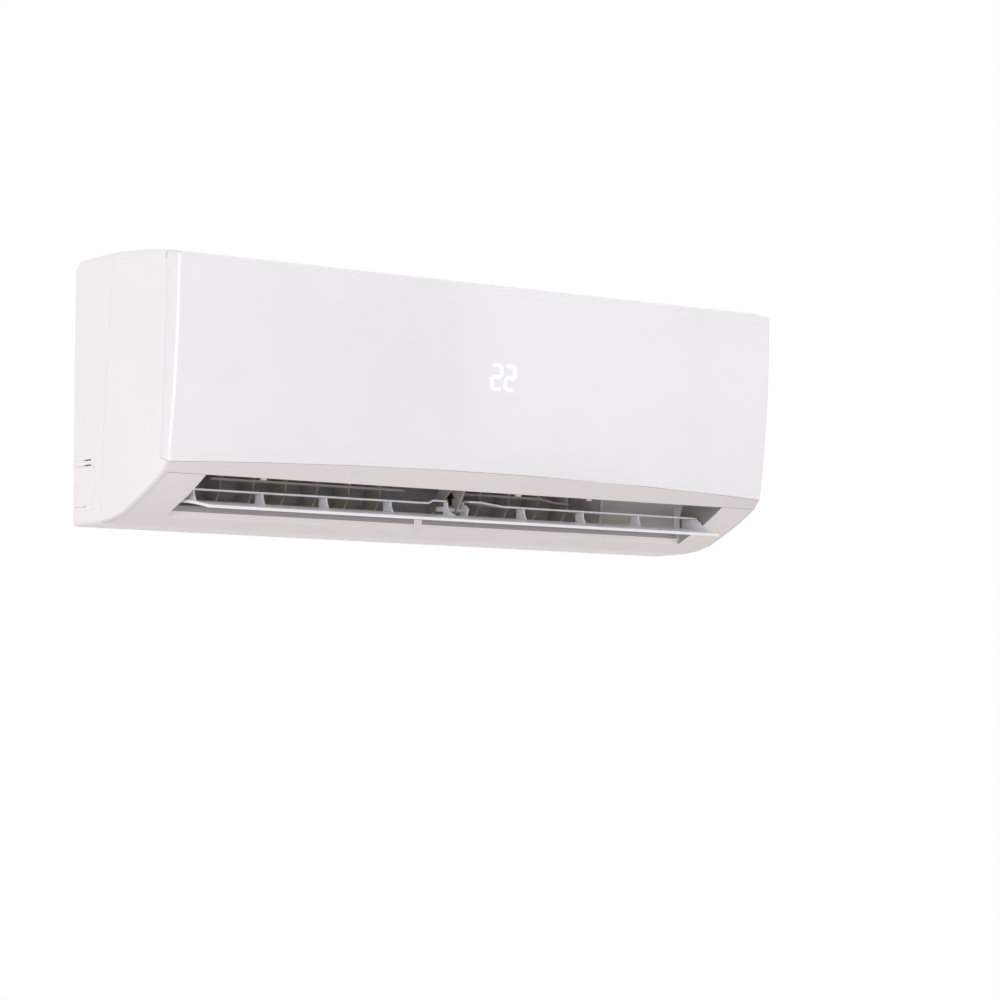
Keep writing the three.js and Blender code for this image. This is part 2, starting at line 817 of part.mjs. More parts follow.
function frontFrame() {
  const ahead = [
    ...shifted(rearSeam, seamGap),
    [depth + overrun, height + overrun],
    [depth + overrun, -overrun],
  ];
  const rearTop = box(
    [-insideHalf + seamGap, insideHalf - seamGap],
    [rearRim + seamGap, depth / 2],
    [grilleFloorShare * height, height + overrun],
  );
  const skin = shell.intersect(prism(ahead, ...casingEnds).add(rearTop));
  const grownPanel = prism(panelBlank(panelGap), -halfWidth - overrun, halfWidth + overrun).subtract(
    belowPanel(-panelGap),
  );
  const face = prism(faceSection(), -insideHalf - wall / 2, insideHalf + wall / 2).intersect(hull);
  const chin = lofted(
    archPlaces.map((x) => [x, strip([bottomLine.at(-1), footFront(archAt(x))], wall)]),
  ).intersect(hull);
  const beforeChin = lofted(
    archPlaces.map((x) => {
      const line = [bottomLine.at(-1), footFront(archAt(x))];
      return [x, [...line, ...shifted(line, overrun).reverse()]];
    }),
  );
  const windows = [
    [windowLeft, mullionCentre - mullionWidth / 2],
    [mullionCentre + mullionWidth / 2, windowRight],
  ].map((span) => box(span, [depth / 2, depth], windowShares.map((share) => share * height)));
  const cuts = [
    grownPanel,
    beforeChin,
    rod([-halfWidth - overrun, halfWidth + overrun], panelPivot, hingeSweep, roundSides),
    prism(
      surroundZone.map(([d, z]) => [d, z < 0 ? z : z + seamGap]),
      -surroundHalf - seamGap,
      surroundHalf + seamGap,
    ),
    box([-mouthHalf, mouthHalf], [mouthRear[0], mouthFront[0]], [0, mouthFront[1] + wall + 2 * seamGap]),
    ...windows,
    ...intakeSlots(),
    stud([buttonPlace[0], buttonPlace[1]], [depth / 2, depth], buttonRadius + buttonGap, roundSides),
  ];
  const cut = cuts.reduce((whole, shape) => whole.subtract(shape), joined(skin, face, chin));
  return joined(cut, ...hingeEars());
}

// Outlet surround: the bottom cover with a cheek at each end of the mouth
const cheekShares = [
  [0.4944, -0.1],
  [0.852, -0.1],
  [0.852, 0.1678],
  [0.824, 0.1678],
  [0.8136, 0.207],
  [0.535, 0.207],
  [0.4944, 0.14],
];
const louvrePinRadius = 2.2;
const louvrePinReach = 8;

function outletSurround() {
  const cover = shell
    .intersect(
      prism(
        surroundZone.map(([d, z]) => [d === rearSeam[0][0] ? d + seamGap : d, z]),
        -surroundHalf,
        surroundHalf,
      ),
    )
    .subtract(box([-mouthHalf, mouthHalf], [mouthRear[0], depth], [-overrun, height]));
  const cheeks = [-mouthHalf - wall, mouthHalf].map((x) =>
    prism(cheekShares.map(place), x, x + wall).intersect(hull),
  );
  const rim = [0, lipSeam - seamGap / 2];
  const flange = box([-mouthHalf - wall / 2, mouthHalf + wall / 2], [mouthRear[0] - wall, mouthRear[0]], rim);
  const pocket = box(centred(screwX, capPlug[0] + 2 * rib), [pocketFloor - rib, mouthRear[0]], rim);
  const cuts = [
    box(centred(screwX, capPlug[0] + 2 * touch), [pocketFloor, depth], [capFoot - touch, height]),
    stud([screwX, screwZ], [0, depth], screwRadius + touch),
    rod([-halfWidth, halfWidth], louvrePivot, louvrePinRadius + touch, roundSides),
  ];
  const body = joined(cover, flange.intersect(hull), pocket.intersect(hull), ...cheeks);
  return cuts.reduce((whole, cut) => whole.subtract(cut), body);
}

// Flap over the screw: a thin plate on the lip with a plug into the pocket
function screwCap() {
  const face = mouthRear[0] + touch;
  const plug = centred(screwZ, capPlug[1]);
  return joined(
    box(centred(screwX, capPlate[0]), [face, face + capThickness], [capFoot, capFoot + capPlate[1]]),
    box(
      centred(screwX, capPlug[0]),
      [pocketFloor + screwHeadHeight + 2 * touch, face + capThickness / 2],
      plug,
    ),
  );
}

function casingScrew() {
  const seat = pocketFloor + touch;
  return joined(
    stud([screwX, screwZ], [seat, seat + screwHeadHeight - touch], screwHead),
    stud([screwX, screwZ], [pocketFloor - screwLength, seat + screwHeadHeight / 2], screwRadius),
  );
}

// Scored outline of the smaller knock-out for a cable
const knockOutShares = [
  [-0.1, 0.24],
  [0.1, 0.25],
  [0.18, 0.31],
  [0.2, 0.4],
  [0.18, 0.51],
  [0.1, 0.58],
  [-0.1, 0.59],
];

function pipeCover(side) {
  const outer = side * halfWidth;
  const inner = outer - side * wall;
  const cover = prism(pipeCoverOutline(0), Math.min(inner, outer), Math.max(inner, outer));
  const faces = [side * (halfWidth - scoreDepth), side * (halfWidth + scoreDepth)].sort((a, b) => a - b);
  const knockOut = knockOutShares.map(([dShare, zShare]) => [
    dShare * pipeOpening[0],
    pipeOpeningFoot + zShare * pipeOpening[1],
  ]);
  const score = prism(knockOut, ...faces).subtract(prism(inset(knockOut, scoreWidth), ...faces));
  return [score, ...pipeCoverSlots(side)].reduce((whole, cut) => whole.subtract(cut), cover);
}

// Front panel: one glossy shell with side flanges, which swings up on two pins at its top corners
const hingePinInset = 17;

function frontPanel() {
  const body = hull.intersect(prism(panelBlank(0), ...casingEnds)).subtract(belowPanel(0));
  const inner = inset(panelSection, wall);
  const hollow = [
    [panelFootRear[0] - overrun, -overrun],
    [inner[1][0], -overrun],
    ...inner.slice(1, -2),
    [panelFootRear[0] - overrun, inner.at(-2)[1]],
  ];
  const sweep = [
    [panelPivot[0] - overrun, panelPivot[1]],
    [panelPivot[0], panelPivot[1]],
    [panelPivot[0], panelPivot[1] + overrun],
    [panelPivot[0] - overrun, panelPivot[1] + overrun],
  ];
  const corner = prism(sweep, ...casingEnds).subtract(
    rod([-halfWidth - overrun, halfWidth + overrun], panelPivot, hingeSweep - touch, roundSides),
  );
  const notches = [-1, 1].map((side) => {
    const ends = [side * (hingeEar[0] - 2 * wall), side * (hingeEar[1] + wall)].sort((a, b) => a - b);
    return box(ends, [0, panelPivot[0] + wall], [panelPivot[1] - hingeEarRadius, height]).add(
      rod(ends, panelPivot, hingeEarRadius + 2 * touch, roundSides),
    );
  });
  const pins = [-1, 1].map((side) => {
    const ends = [side * (halfWidth - hingePinInset), side * (insideHalf + wall / 2)].sort((a, b) => a - b);
    return rod(ends, panelPivot, hingeRadius, smallSides);
  });
  const cuts = [prism(hollow, -insideHalf, insideHalf).subtract(belowPanel(wall)), corner, ...notches];
  const skin = cuts.reduce((whole, cut) => whole.subtract(cut), body);
  return joined(skin, ...pins);
}

// Display behind the panel
const displaySize = [69, 54];
const displayRiseShare = 0.625;
const displayCentre = [mullionCentre, displayRiseShare * height];
const displayFaceGap = 0.55;
const displayPanelGap = 2.9;
const displayX = [displayCentre[0] - displaySize[0] / 2, displayCentre[0] + displaySize[0] / 2];
const displayZ = [displayCentre[1] - displaySize[1] / 2, displayCentre[1] + displaySize[1] / 2];
const displayDepth = [
  faceBack(displayZ[1]) + faceThickness + displayFaceGap,
  panelFrontAt(displayZ[0]) - wall - displayPanelGap,
];
const digitShares = [0.3, 0.7];
const digitSize = [12, 18];
const digitDepth = 6.4;
const displayWall = 1.6;
const boardThickness = 1.6;
const lensThickness = 1.5;

function displayHousing() {
  const inner = (range) => [range[0] + displayWall, range[1] - displayWall];
  return box(displayX, displayDepth, displayZ).subtract(
    box(inner(displayX), [displayDepth[0] + displayWall, depth], inner(displayZ)),
  );
}

function displayBoard() {
  const inner = (range) => [range[0] + displayWall + touch, range[1] - displayWall - touch];
  const from = displayDepth[0] + displayWall + touch;
  const board = box(inner(displayX), [from, from + boardThickness], inner(displayZ));
  const digits = digitShares.map((share) => {
    const x = THREE.MathUtils.lerp(...displayX, share);
    const [half, tall] = digitSize.map((size) => size / 2);
    const rise = [displayCentre[1] - tall, displayCentre[1] + tall];
    return box([x - half, x + half], [from, from + digitDepth], rise);
  });
  return joined(board, ...digits);
}

function displayLens() {
  const inner = (range) => [range[0] + displayWall + touch, range[1] - displayWall - touch];
  return box(inner(displayX), [displayDepth[1] - lensThickness, displayDepth[1]], inner(displayZ));
}

// Air filters: a thin sheet in a ribbed frame, bent over the heat exchanger
const filterFootShare = 0.3082;
const filterTopShare = 0.9214;
const filterBendRadius = 46;
const filterRearShare = 0.1545;
const filterSheet = 0.8;
const filterRib = 4;
const filterRibCount = 5;
const filterGap = 0.4;
const filterLap = 10;
const mullion = [mullionCentre - mullionWidth / 2, mullionCentre + mullionWidth / 2];
const filterSpans = [
  [windowLeft - filterLap, mullion[0] + filterLap],
  [mullion[1] - filterLap, windowRight + filterLap],
];

function filter([from, to]) {
  const face = faceShares.map(place)[0][0] - faceThickness - filterGap;
  const foot = filterFootShare * height;
  const top = filterTopShare * height;
  const centre = [face - filterBendRadius, top - filterBendRadius];
  const outer = [[face, foot], ...arc(centre, filterBendRadius, 0, 90, 6), [filterRearShare * depth, top]];
  const ribs = Array.from({ length: filterRibCount }, (_, i) => {
    const x = THREE.MathUtils.lerp(from, to - filterRib, i / (filterRibCount - 1));
    return prism(strip(outer, filterThickness), x, x + filterRib);
  });
  const rear = filterRearShare * depth;
  const sheet = [from + filterRib / 2, to - filterRib / 2];
  return joined(
    prism(strip(outer, filterSheet), ...sheet),
    ...ribs,
    box(sheet, [face - filterThickness, face], [foot, foot + filterRib]),
    box(sheet, [rear, rear + filterRib], [top - filterThickness, top]),
  );
}

// Heat exchanger: three slabs of fins held by two end plates, with the copper bends of its tubes
const coilGap = 10;
const coilEnds = [ductLeft + coilGap, ductRight - coilGap];
const coilFilterGap = 2.3;
const coilPlateThickness = 1.2;
const bendRadius = 10.5;
const bendTube = 3.5;
const bendSteps = 6;
const coilLowerShares = [0.296, 0.5357];
const filterFace = faceShares.map(place)[0][0] - faceThickness - filterGap;
const coilLowerRear = filterFace - filterThickness - coilFilterGap - coilThickness;
const coilLower = coilLowerShares.map((share) => [coilLowerRear, share * height]);
const coilUpper = [
  [0.8033, 0.5786],
  [0.5355, 0.8786],
].map(place);
const coilRear = [
  [0.3558, 0.8886],
  [0.191, 0.7511],
].map(place);

const lowerSlab = [
  coilLower[0],
  [coilLower[0][0] + coilThickness, coilLower[0][1]],
  [coilLower[1][0] + coilThickness, coilLower[1][1]],
  coilLower[1],
];
const upperSlab = strip(coilUpper, coilThickness);
const rearSlab = strip(coilRear, coilThickness);

function coilPlateOutline() {
  return [
    lowerSlab[0],
    lowerSlab[1],
    [lowerSlab[1][0], upperSlab[0][1]],
    upperSlab[1],
    rearSlab[0],
    rearSlab[1],
    rearSlab[2],
    rearSlab[3],
    upperSlab[2],
    upperSlab[3],
    lowerSlab[3],
  ];
}

// Half rings of tube that join one pass of a slab to the next
function coilBends(side, plateFace) {
  const rows = [
    [lowerSlab, 2],
    [upperSlab, 3],
    [rearSlab, side < 0 ? 2 : 0],
  ];
  return rows.flatMap(([[a, b, c, e], count]) =>
    Array.from({ length: count }, (_, i) => {
      const share = (i + 0.5) / count;
      const along = slabAxis([a, b, c, e]);
      const d = along.start[0] + along.step[0] * share;
      const z = along.start[1] + along.step[1] * share;
      return halfRing([plateFace - (side * coilPlateThickness) / 2, d, z], side, along.unit);
    }),
  );
}

// Middle line of a slab along its longer side
function slabAxis([a, b, c, e]) {
  const middle = ([u0, v0], [u1, v1]) => [(u0 + u1) / 2, (v0 + v1) / 2];
  const longSide = Math.hypot(b[0] - a[0], b[1] - a[1]) > Math.hypot(c[0] - b[0], c[1] - b[1]);
  const start = longSide ? middle(a, e) : middle(a, b);
  const end = longSide ? middle(b, c) : middle(e, c);
  const step = [end[0] - start[0], end[1] - start[1]];
  const length = Math.hypot(...step);
  return { start, step, unit: step.map((value) => value / length) };
}

function halfRing([x, d, z], side, [du, dv]) {
  const path = new THREE.CatmullRomCurve3(
    Array.from({ length: bendSteps + 1 }, (_, i) => {
      const angle = (Math.PI * i) / bendSteps;
      const along = bendRadius * Math.cos(angle);
      const out = side * (bendRadius * Math.sin(angle) + wall);
      return new THREE.Vector3(x + (i % bendSteps ? out : 0), -(d + du * along), z + dv * along);
    }),
  );
  const ring = new THREE.Shape();
  ring.absarc(0, 0, bendTube, 0, 2 * Math.PI);
  return solid(new THREE.ExtrudeGeometry(ring, { steps: bendSteps, curveSegments: 3, extrudePath: path }));
}

function coilEnd(side) {
  const inner = side < 0 ? coilEnds[0] - touch : coilEnds[1] + touch;
  const outer = inner + side * coilPlateThickness;
  const sheet = prism(coilPlateOutline(), Math.min(inner, outer), Math.max(inner, outer));
  return joined(sheet, ...coilBends(side, outer));
}

// Refrigerant pipes: down behind the fan motor and along the channel at the foot of the wall side
const suctionRadius = 6;
const liquidRadius = 3.2;
const pipeBend = 14;
const pipeSides = 8;
const pipeSteps = 44;
const pipeStart = coilEnds[1] + coilPlateThickness + 2 * touch;
const pipeEnd = ductLeft - pipeBend;
const suctionShares = [0.2317, 0.7536];
const liquidShares = [0.3193, 0.8071];
const suctionPlace = place(suctionShares);
const liquidPlace = place(liquidShares);
const suctionDropGap = 17;
const suctionDropX = ductRight + suctionDropGap;
const suctionChannel = [17, 38];
const liquidChannel = [30, 20];
const liquidDropX = ductRight + wall + 3 * touch + liquidRadius;
const suctionRoute = [
  [pipeStart, ...suctionPlace],
  [suctionDropX, ...suctionPlace],
  [suctionDropX, suctionChannel[0], suctionPlace[1]],
  [suctionDropX, ...suctionChannel],
  [pipeEnd, ...suctionChannel],
];
const liquidRoute = [
  [pipeStart, ...liquidPlace],
  [liquidDropX, ...liquidPlace],
  [liquidDropX, liquidChannel[0], liquidPlace[1]],
  [liquidDropX, ...liquidChannel],
  [pipeEnd, ...liquidChannel],
];
const nutLength = 18;
const nutRim = 6;

function flareNut([, d, z], radius) {
  const from = pipeEnd - touch - wall;
  return rod([from, from + nutLength], [d, z], radius + nutRim, 6).subtract(
    rod([from - wall, from + nutLength + wall], [d, z], radius + touch, smallSides),
  );
}

// Cross-flow fan: long forward-curved blades in rings, with an end disc and an axle stub on the left
const fanSpan = [ductLeft + wall + fanEndGap, ductRight - fanEndGap];
const bladeAngle = 38;
const hubRadius = 9;
const hubLength = 12;
const axleLength = 22;

function fanBlade(i) {
  const angle = (2 * Math.PI * i) / fanBladeCount;
  const lean = THREE.MathUtils.degToRad(bladeAngle);
  const middle = fanRadius - fanBladeChord / 2 - fanBladeThickness / 2;
  const corners = [
    [-fanBladeChord / 2, -fanBladeThickness / 2],
    [fanBladeChord / 2, -fanBladeThickness / 2],
    [fanBladeChord / 2, fanBladeThickness / 2],
    [-fanBladeChord / 2, fanBladeThickness / 2],
  ].map(([u, v]) => {
    const d = middle + u * Math.cos(lean) - v * Math.sin(lean);
    const z = u * Math.sin(lean) + v * Math.cos(lean);
    return [
      fanCentre[0] + d * Math.cos(angle) - z * Math.sin(angle),
      fanCentre[1] + d * Math.sin(angle) + z * Math.cos(angle),
    ];
  });
  return prism(corners, ...fanSpan);
}

function crossFlowFan() {
  const inner = fanRadius - fanBladeChord - fanBladeThickness;
  const blades = Array.from({ length: fanBladeCount }, (_, i) => fanBlade(i));
  const rings = Array.from({ length: fanRingCount }, (_, i) => {
    const x = THREE.MathUtils.lerp(fanSpan[0], fanSpan[1] - fanRingThickness, i / (fanRingCount - 1));
    const ends = [x, x + fanRingThickness];
    const disc = rod(ends, fanCentre, fanRadius, fanBladeCount);
    const bore = rod([x - wall, x + wall + fanRingThickness], fanCentre, inner, fanBladeCount);
    return i === 0 || i === fanRingCount - 1 ? disc : disc.subtract(bore);
  });
  const axle = rod([fanSpan[0] - axleLength, fanSpan[0] + wall], fanCentre, shaftRadius);
  const hub = rod([fanSpan[1] - hubLength, fanSpan[1] - fanRingThickness / 2], fanCentre, hubRadius);
  const bore = rod([fanSpan[1] - hubLength - wall, fanSpan[1] + wall], fanCentre, shaftRadius + touch);
  return joined(...blades, ...rings, axle, hub).subtract(bore);
}

const motorShaft = () =>
  rod([fanSpan[1] - hubLength + wall, motorFrom + motorLength / 2], fanCentre, shaftRadius);

function fanBearing() {
  const from = ductLeft - wall / 2 - bearingLength / 2;
  const ends = [from, from + bearingLength];
  return rod(ends, fanCentre, bearingRadius).subtract(
    rod([ends[0] - wall, ends[1] + wall], fanCentre, shaftRadius + touch),
  );
}

function bearingHolder() {
  const from = ductLeft - wall / 2 - bearingLength / 2;
  const flangeTo = ductLeft - wall / 2 - touch;
  const body = joined(
    rod([from, from + bearingLength], fanCentre, bearingHolderRadius),
    rod([flangeTo - rib, flangeTo], fanCentre, bearingHolderRadius + 2 * rib),
  );
  return body.subtract(rod([from - wall, from + bearingLength + wall], fanCentre, bearingRadius + touch));
}

function fanMotor() {
  const bore = rod([motorFrom - wall, motorFrom + motorLength / 2 + touch], fanCentre, shaftRadius + touch);
  const bands = rod([motorFrom, motorFrom + motorLength], fanCentre, motorRadius, fineSides);
  const nose = rod([motorFrom - rib, motorFrom + motorLength + rib], fanCentre, motorRadius / 2);
  return bands.add(nose).subtract(bore);
}

function motorClamp() {
  const middle = (motorSeat[0] + motorSeat[1]) / 2;
  const half = motorSeatWidth / 3;
  const ends = [middle - half, middle + half];
  const outer = rod(ends, fanCentre, motorRadius + motorSeatWall, fineSides);
  const hole = rod([ends[0] - wall, ends[1] + wall], fanCentre, motorRadius + touch, fineSides);
  const reach = motorRadius + motorSeatWall;
  const front = box(
    [ends[0] - wall, ends[1] + wall],
    [fanCentre[0] + touch, fanCentre[0] + reach],
    [fanCentre[1] - reach, fanCentre[1] + reach],
  );
  return outer.subtract(hole).intersect(front);
}

// Drain pan: foam-backed trough under the heat exchanger, whose underside is the duct's ceiling
const panReach = [21, 22];
const panEnds = [coilEnds[0] - panReach[0], coilEnds[1] + panReach[1]];
const tongueAngle = -25;
const panRiseShares = [0.3, 0.1893, 0.1964, 0.3071, 0.3071, 0.3339];
const panRearGap = [5, 7];
const panFrontGap = [4.3, 4.8];
const troughWall = 3;
const troughGap = 1.6;
const spigotPlace = [0.7518, 0.25];
const spigotRadius = 7;
const spigotLength = 20;
const panHookPlaces = [-272.5, 62.4, 162];
const panHookSize = [6.4, 3.6];
const panHookShares = [0.813, 0.166, 0.22];

function drainPan() {
  const tongue = polar(fanCentre, fanRadius + fanGap - wall / 2, tongueAngle);
  const front = coilLowerRear + coilThickness;
  const line = [
    coilLowerRear - panRearGap[0],
    front + panFrontGap[0],
    front + panFrontGap[1],
    front + panFrontGap[1],
    front + troughGap,
    coilLowerRear - panRearGap[1],
  ];
  const section = line.map((d, i) => [d, panRiseShares[i] * height]);
  const body = prism([tongue, ...section], ...panEnds);
  const trough = box(
    [panEnds[0] + troughWall, panEnds[1] - troughWall],
    [coilLower[0][0] - troughGap, coilLower[0][0] + coilThickness + troughGap],
    [coilLower[0][1] - touch, height],
  );
  const hooks = panHookPlaces.map((x) =>
    box(centred(x, panHookSize[0]), centred(panHookShares[0] * depth, panHookSize[1]), [
      panHookShares[1] * height,
      panHookShares[2] * height,
    ]),
  );
  return joined(body.subtract(trough), ...hooks);
}

function drainEnd(side, bore) {
  const from = side < 0 ? panEnds[0] - touch : panEnds[1] + touch;
  const ends = [from, from + side * spigotLength].sort((a, b) => a - b);
  const body = rod(ends, place(spigotPlace), spigotRadius);
  const hollow = rod([ends[0] - wall, ends[1] - wall], place(spigotPlace), spigotRadius - rib);
  return bore ? body.subtract(hollow) : body;
}

// Electrical parts at the right-hand end
const boxWall = 2;

function controlBox() {
  const inner = ([from, to]) => [from + boxWall, to - boxWall];
  return box(controlBoxX, controlBoxDepth, controlBoxZ).subtract(
    box(inner(controlBoxX), [controlBoxDepth[0] + boxWall, depth], inner(controlBoxZ)),
  );
}

const controlBoxCover = () =>
  box(controlBoxX, [controlBoxDepth[1] + touch, controlBoxDepth[1] + touch + boxWall], controlBoxZ);

// Parts on the board: place across and up, half width and height above the board
const blockShares = [
  [0.2, 0.25, 0.115, 0.31],
  [0.6, 0.2, 0.154, 0.23],
  [0.3, 0.6, 0.141, 0.18],
  [0.72, 0.65, 0.103, 0.33],
  [0.5, 0.86, 0.115, 0.154],
];
const terminalSize = [56, 26, 20];
const terminalBodyShare = 0.8;
const terminalSetback = 8;
const terminalWallShares = [0, 0.25, 0.5, 0.75, 1];

function mainBoard() {
  const inner = ([from, to], margin) => [from + boxWall + margin, to - boxWall - margin];
  const from = controlBoxDepth[0] + boxWall + touch;
  const spanX = inner(controlBoxX, rib);
  const spanZ = [controlBoxZ[0] + boxWall + terminalSize[2] + rib, controlBoxZ[1] - boxWall - rib];
  const board = box(spanX, [from, from + boardThickness], spanZ);
  const blocks = blockShares.map(([acrossShare, upShare, halfShare, tallShare]) => {
    const x = THREE.MathUtils.lerp(...spanX, acrossShare);
    const z = THREE.MathUtils.lerp(...spanZ, upShare);
    const half = halfShare * controlBoxWidth;
    return box([x - half, x + half], [from, from + tallShare * controlBoxWidth], [z - half, z + half]);
  });
  return joined(board, ...blocks);
}

function terminalBlock() {
  const middle = (controlBoxX[0] + controlBoxX[1]) / 2;
  const floor = controlBoxZ[0] + boxWall + touch;
  const [long, deep, tall] = terminalSize;
  const from = controlBoxDepth[0] + boxWall + terminalSetback;
  const body = box(
    [middle - long / 2, middle + long / 2],
    [from, from + deep],
    [floor, floor + terminalBodyShare * tall],
  );
  const walls = terminalWallShares.map((share) => {
    const x = THREE.MathUtils.lerp(middle - long / 2, middle + long / 2 - rib, share);
    return box([x, x + rib], [from, from + deep], [floor, floor + tall]);
  });
  return joined(body, ...walls);
}

const sensorSize = [12, 6, 35];
const sensorInset = 102.5;
const sensorRise = 95;
const sensorPlace = [halfWidth - sensorInset, sensorRise];

function roomSensor() {
  const face = faceBack(sensorPlace[1]) - touch;
  return box(
    [sensorPlace[0], sensorPlace[0] + sensorSize[0]],
    [face - sensorSize[1], face],
    [sensorPlace[1], sensorPlace[1] + sensorSize[2]],
  );
}

const buttonFlange = 7;
const buttonFrontShare = 0.8676;
const buttonFront = buttonFrontShare * depth;

function manualButton() {
  const back = faceBack(buttonPlace[1] - buttonFlange) - touch;
  return stud(buttonPlace, [back, buttonFront], buttonRadius, roundSides).add(
    stud(buttonPlace, [back - rib, back], buttonFlange, roundSides),
  );
}

// Louvre, modelled in its own frame: u forward and v up from its pivot, laid at the photographed angle
const louvreRest = 4;
const louvreEndGap = 4;
const louvreHalf = mouthHalf - louvreEndGap;
const louvreSurface = 8.2;
const louvreChord = 72.5;
const louvreShares = [
  [-0.31, -0.113],
  [-0.14, -0.114],
  [0.03, -0.117],
  [0.2, -0.123],
  [0.35, -0.136],
  [0.5, -0.153],
  [0.6, -0.165],
  [0.69, -0.178],
];
const endPlateShares = [
  [0.62, -0.1],
  [0.377, -0.037],
  [0.31, 0.03],
  [0.246, 0.059],
];
const innerRear = -16;
const innerFront = 15;
const innerLevel = 4.6;
const innerRaise = 3.2;
const innerThickness = 2;
const innerEndGap = 3;
const innerHalf = louvreHalf - innerEndGap;
const innerRightRaise = 0.8;
const innerLeftEnd = -16;
const innerRightStart = 14;
const raiseShares = [-0.119, -0.1012, 0.0867, 0.1792];
const postThickness = 2;
const postShares = [0.263, 0.5058, 0.74, 0.9855];
const postRearShare = 0.1;
const postFrontShares = [
  [1.06, -0.817],
  [0.9, -0.268],
  [0.83, 0],
  [0.8, 0.24],
];
const hubLeft = -17;
const hubLeftRearShare = 0.58;
const hubLeftShares = [
  [1.9, -0.866],
  [1.4, -0.457],
  [1.044, -0.073],
  [0.917, 0.58],
];
const hubRight = 15;
const hubRightRearShare = -0.17;
const hubRightShares = [
  [0.54, -0.817],
  [0.628, -0.305],
  [0.689, 0.17],
  [0.472, 0.622],
  [0.17, 0.805],
];
const hubPinRadius = 2.4;
const hubArmHalf = 2.6;
const louvreEndRearShare = -0.1;
const louvreMotorRadius = 12;
const louvreMotorLength = 19;
const louvreMotorOffset = 8.5;
const postPlaces = [-1, 1].flatMap((side) => postShares.map((share) => side * share * louvreHalf));

const louvre = new THREE.Group();
louvre.position.set(0, -louvrePivot[0], louvrePivot[1]);
louvre.rotation.x = THREE.MathUtils.degToRad(louvreRest);
unit.add(louvre);

// Upright plate between the blades, from its rear edge to the points of its front edge
function louvrePost(x, top, rear, frontShares) {
  const foot = -louvreSurface + louvreThickness / 2;
  const front = frontShares.map(([u, v]) => [u * postDepth, v * louvreSurface]);
  return prism(
    [[rear, foot], ...front, [front.at(-1)[0], top], [rear, top]],
    x - postThickness / 2,
    x + postThickness / 2,
  );
}

function louvreOuterBlade() {
  const scaled = (shares) => shares.map(([u, v]) => [u * louvreChord, v * louvreChord]);
  const under = scaled(louvreShares);
  const middle = shifted(under, 0, louvreThickness / 2);
  const low = (x) => innerLevel - touch + (x > 0 ? innerRightRaise : 0);
  const postRear = postRearShare * postDepth;
  const endRear = louvreEndRearShare * louvreChord;
  const endPlace = postPlaces.at(-1);
  const posts = postPlaces
    .filter((x) => Math.abs(x) < endPlace)
    .map((x) => louvrePost(x, low(x), postRear, postFrontShares));
  const hubLeftRear = hubLeftRearShare * postDepth;
  const hubs = [
    louvrePost(hubLeft, low(hubLeft) + innerRaise, hubLeftRear, hubLeftShares),
    louvrePost(hubRight, low(hubRight) + innerRaise, hubRightRearShare * postDepth, hubRightShares),
  ];
  const arm = prism(
    [
      ...arc([0, 0], hubArmHalf, 90, 270, smallSides / 2),
      [hubLeftRear + wall, -hubArmHalf],
      [hubLeftRear + wall, hubArmHalf],
    ],
    hubLeft - postThickness / 2,
    hubLeft + postThickness / 2,
  );
  const endTop = low(endPlace);
  const endOutline = [
    ...middle.filter(([u]) => u > endRear),
    ...scaled(endPlateShares),
    [endPlateShares.at(-1)[0] * louvreChord, endTop],
    [endRear, endTop],
    [endRear, middle[1][1]],
  ];
  const ends = [
    louvrePost(-endPlace, low(-endPlace), endRear, postFrontShares),
    prism(endOutline, endPlace - postThickness / 2, endPlace + postThickness / 2),
  ];
  const pins = [-1, 1].map((side) => {
    const span = [side * (endPlace - postThickness), side * (mouthHalf + wall + louvrePinReach)];
    return rod(span.sort((a, b) => a - b), [0, 0], louvrePinRadius);
  });
  const hubPin = rod([hubLeft, hubRight], [0, 0], hubPinRadius);
  const blade = prism(strip(under, louvreThickness), -louvreHalf, louvreHalf);
  return joined(blade, ...posts, ...hubs, arm, ...ends, ...pins, hubPin);
}

function louvreInnerBlade(side) {
  const low = innerLevel + (side > 0 ? innerRightRaise : 0);
  const high = low + innerRaise;
  const line =
    side < 0
      ? [
          [-innerHalf, low],
          [raiseShares[0] * louvreHalf, low],
          [raiseShares[1] * louvreHalf, high],
          [innerLeftEnd, high],
        ]
      : [
          [innerRightStart, high],
          [raiseShares[2] * louvreHalf, high],
          [raiseShares[3] * louvreHalf, low],
          [innerHalf, low],
        ];
  const outline = [...line, ...line.map(([x, z]) => [x, z + innerThickness]).reverse()];
  return plate(outline, innerRear, innerFront);
}

function louvreMotor() {
  const from = mouthHalf + wall + touch;
  const centre = [louvrePivot[0], louvrePivot[1] + louvreMotorOffset];
  const body = rod([from, from + louvreMotorLength], centre, louvreMotorRadius);
  const bore = [from - wall, from + louvreMotorLength / 2];
  return body.subtract(rod(bore, louvrePivot, louvrePinRadius + touch));
}

// Bracket that hangs from the duct's ceiling and carries the middle of the louvre
const bracketRight = 4.5;
const bracketLeft = -4;
const bracketThickness = 2;
const bracketEye = 5.2;
const bracketRootReach = 8;
const bracketShares = [
  [0.7039, 0.1804],
  [0.7827, 0.2139],
  [0.7106, 0.2704],
  [0.5664, 0.2143],
  [0.4994, 0.1714],
  [0.5097, 0.1268],
];
const bracketRibShares = [
  [0.4634, 0.0964],
  [0.6354, 0.1804],
  [0.7209, 0.2357],
  [0.7106, 0.2704],
  [0.5767, 0.2214],
  [0.4325, 0.1214],
];
const bracketRootShares = [
  [0.7003, 0.25],
  [0.7724, 0.2071],
  [0.7827, 0.2139],
  [0.7106, 0.2704],
];

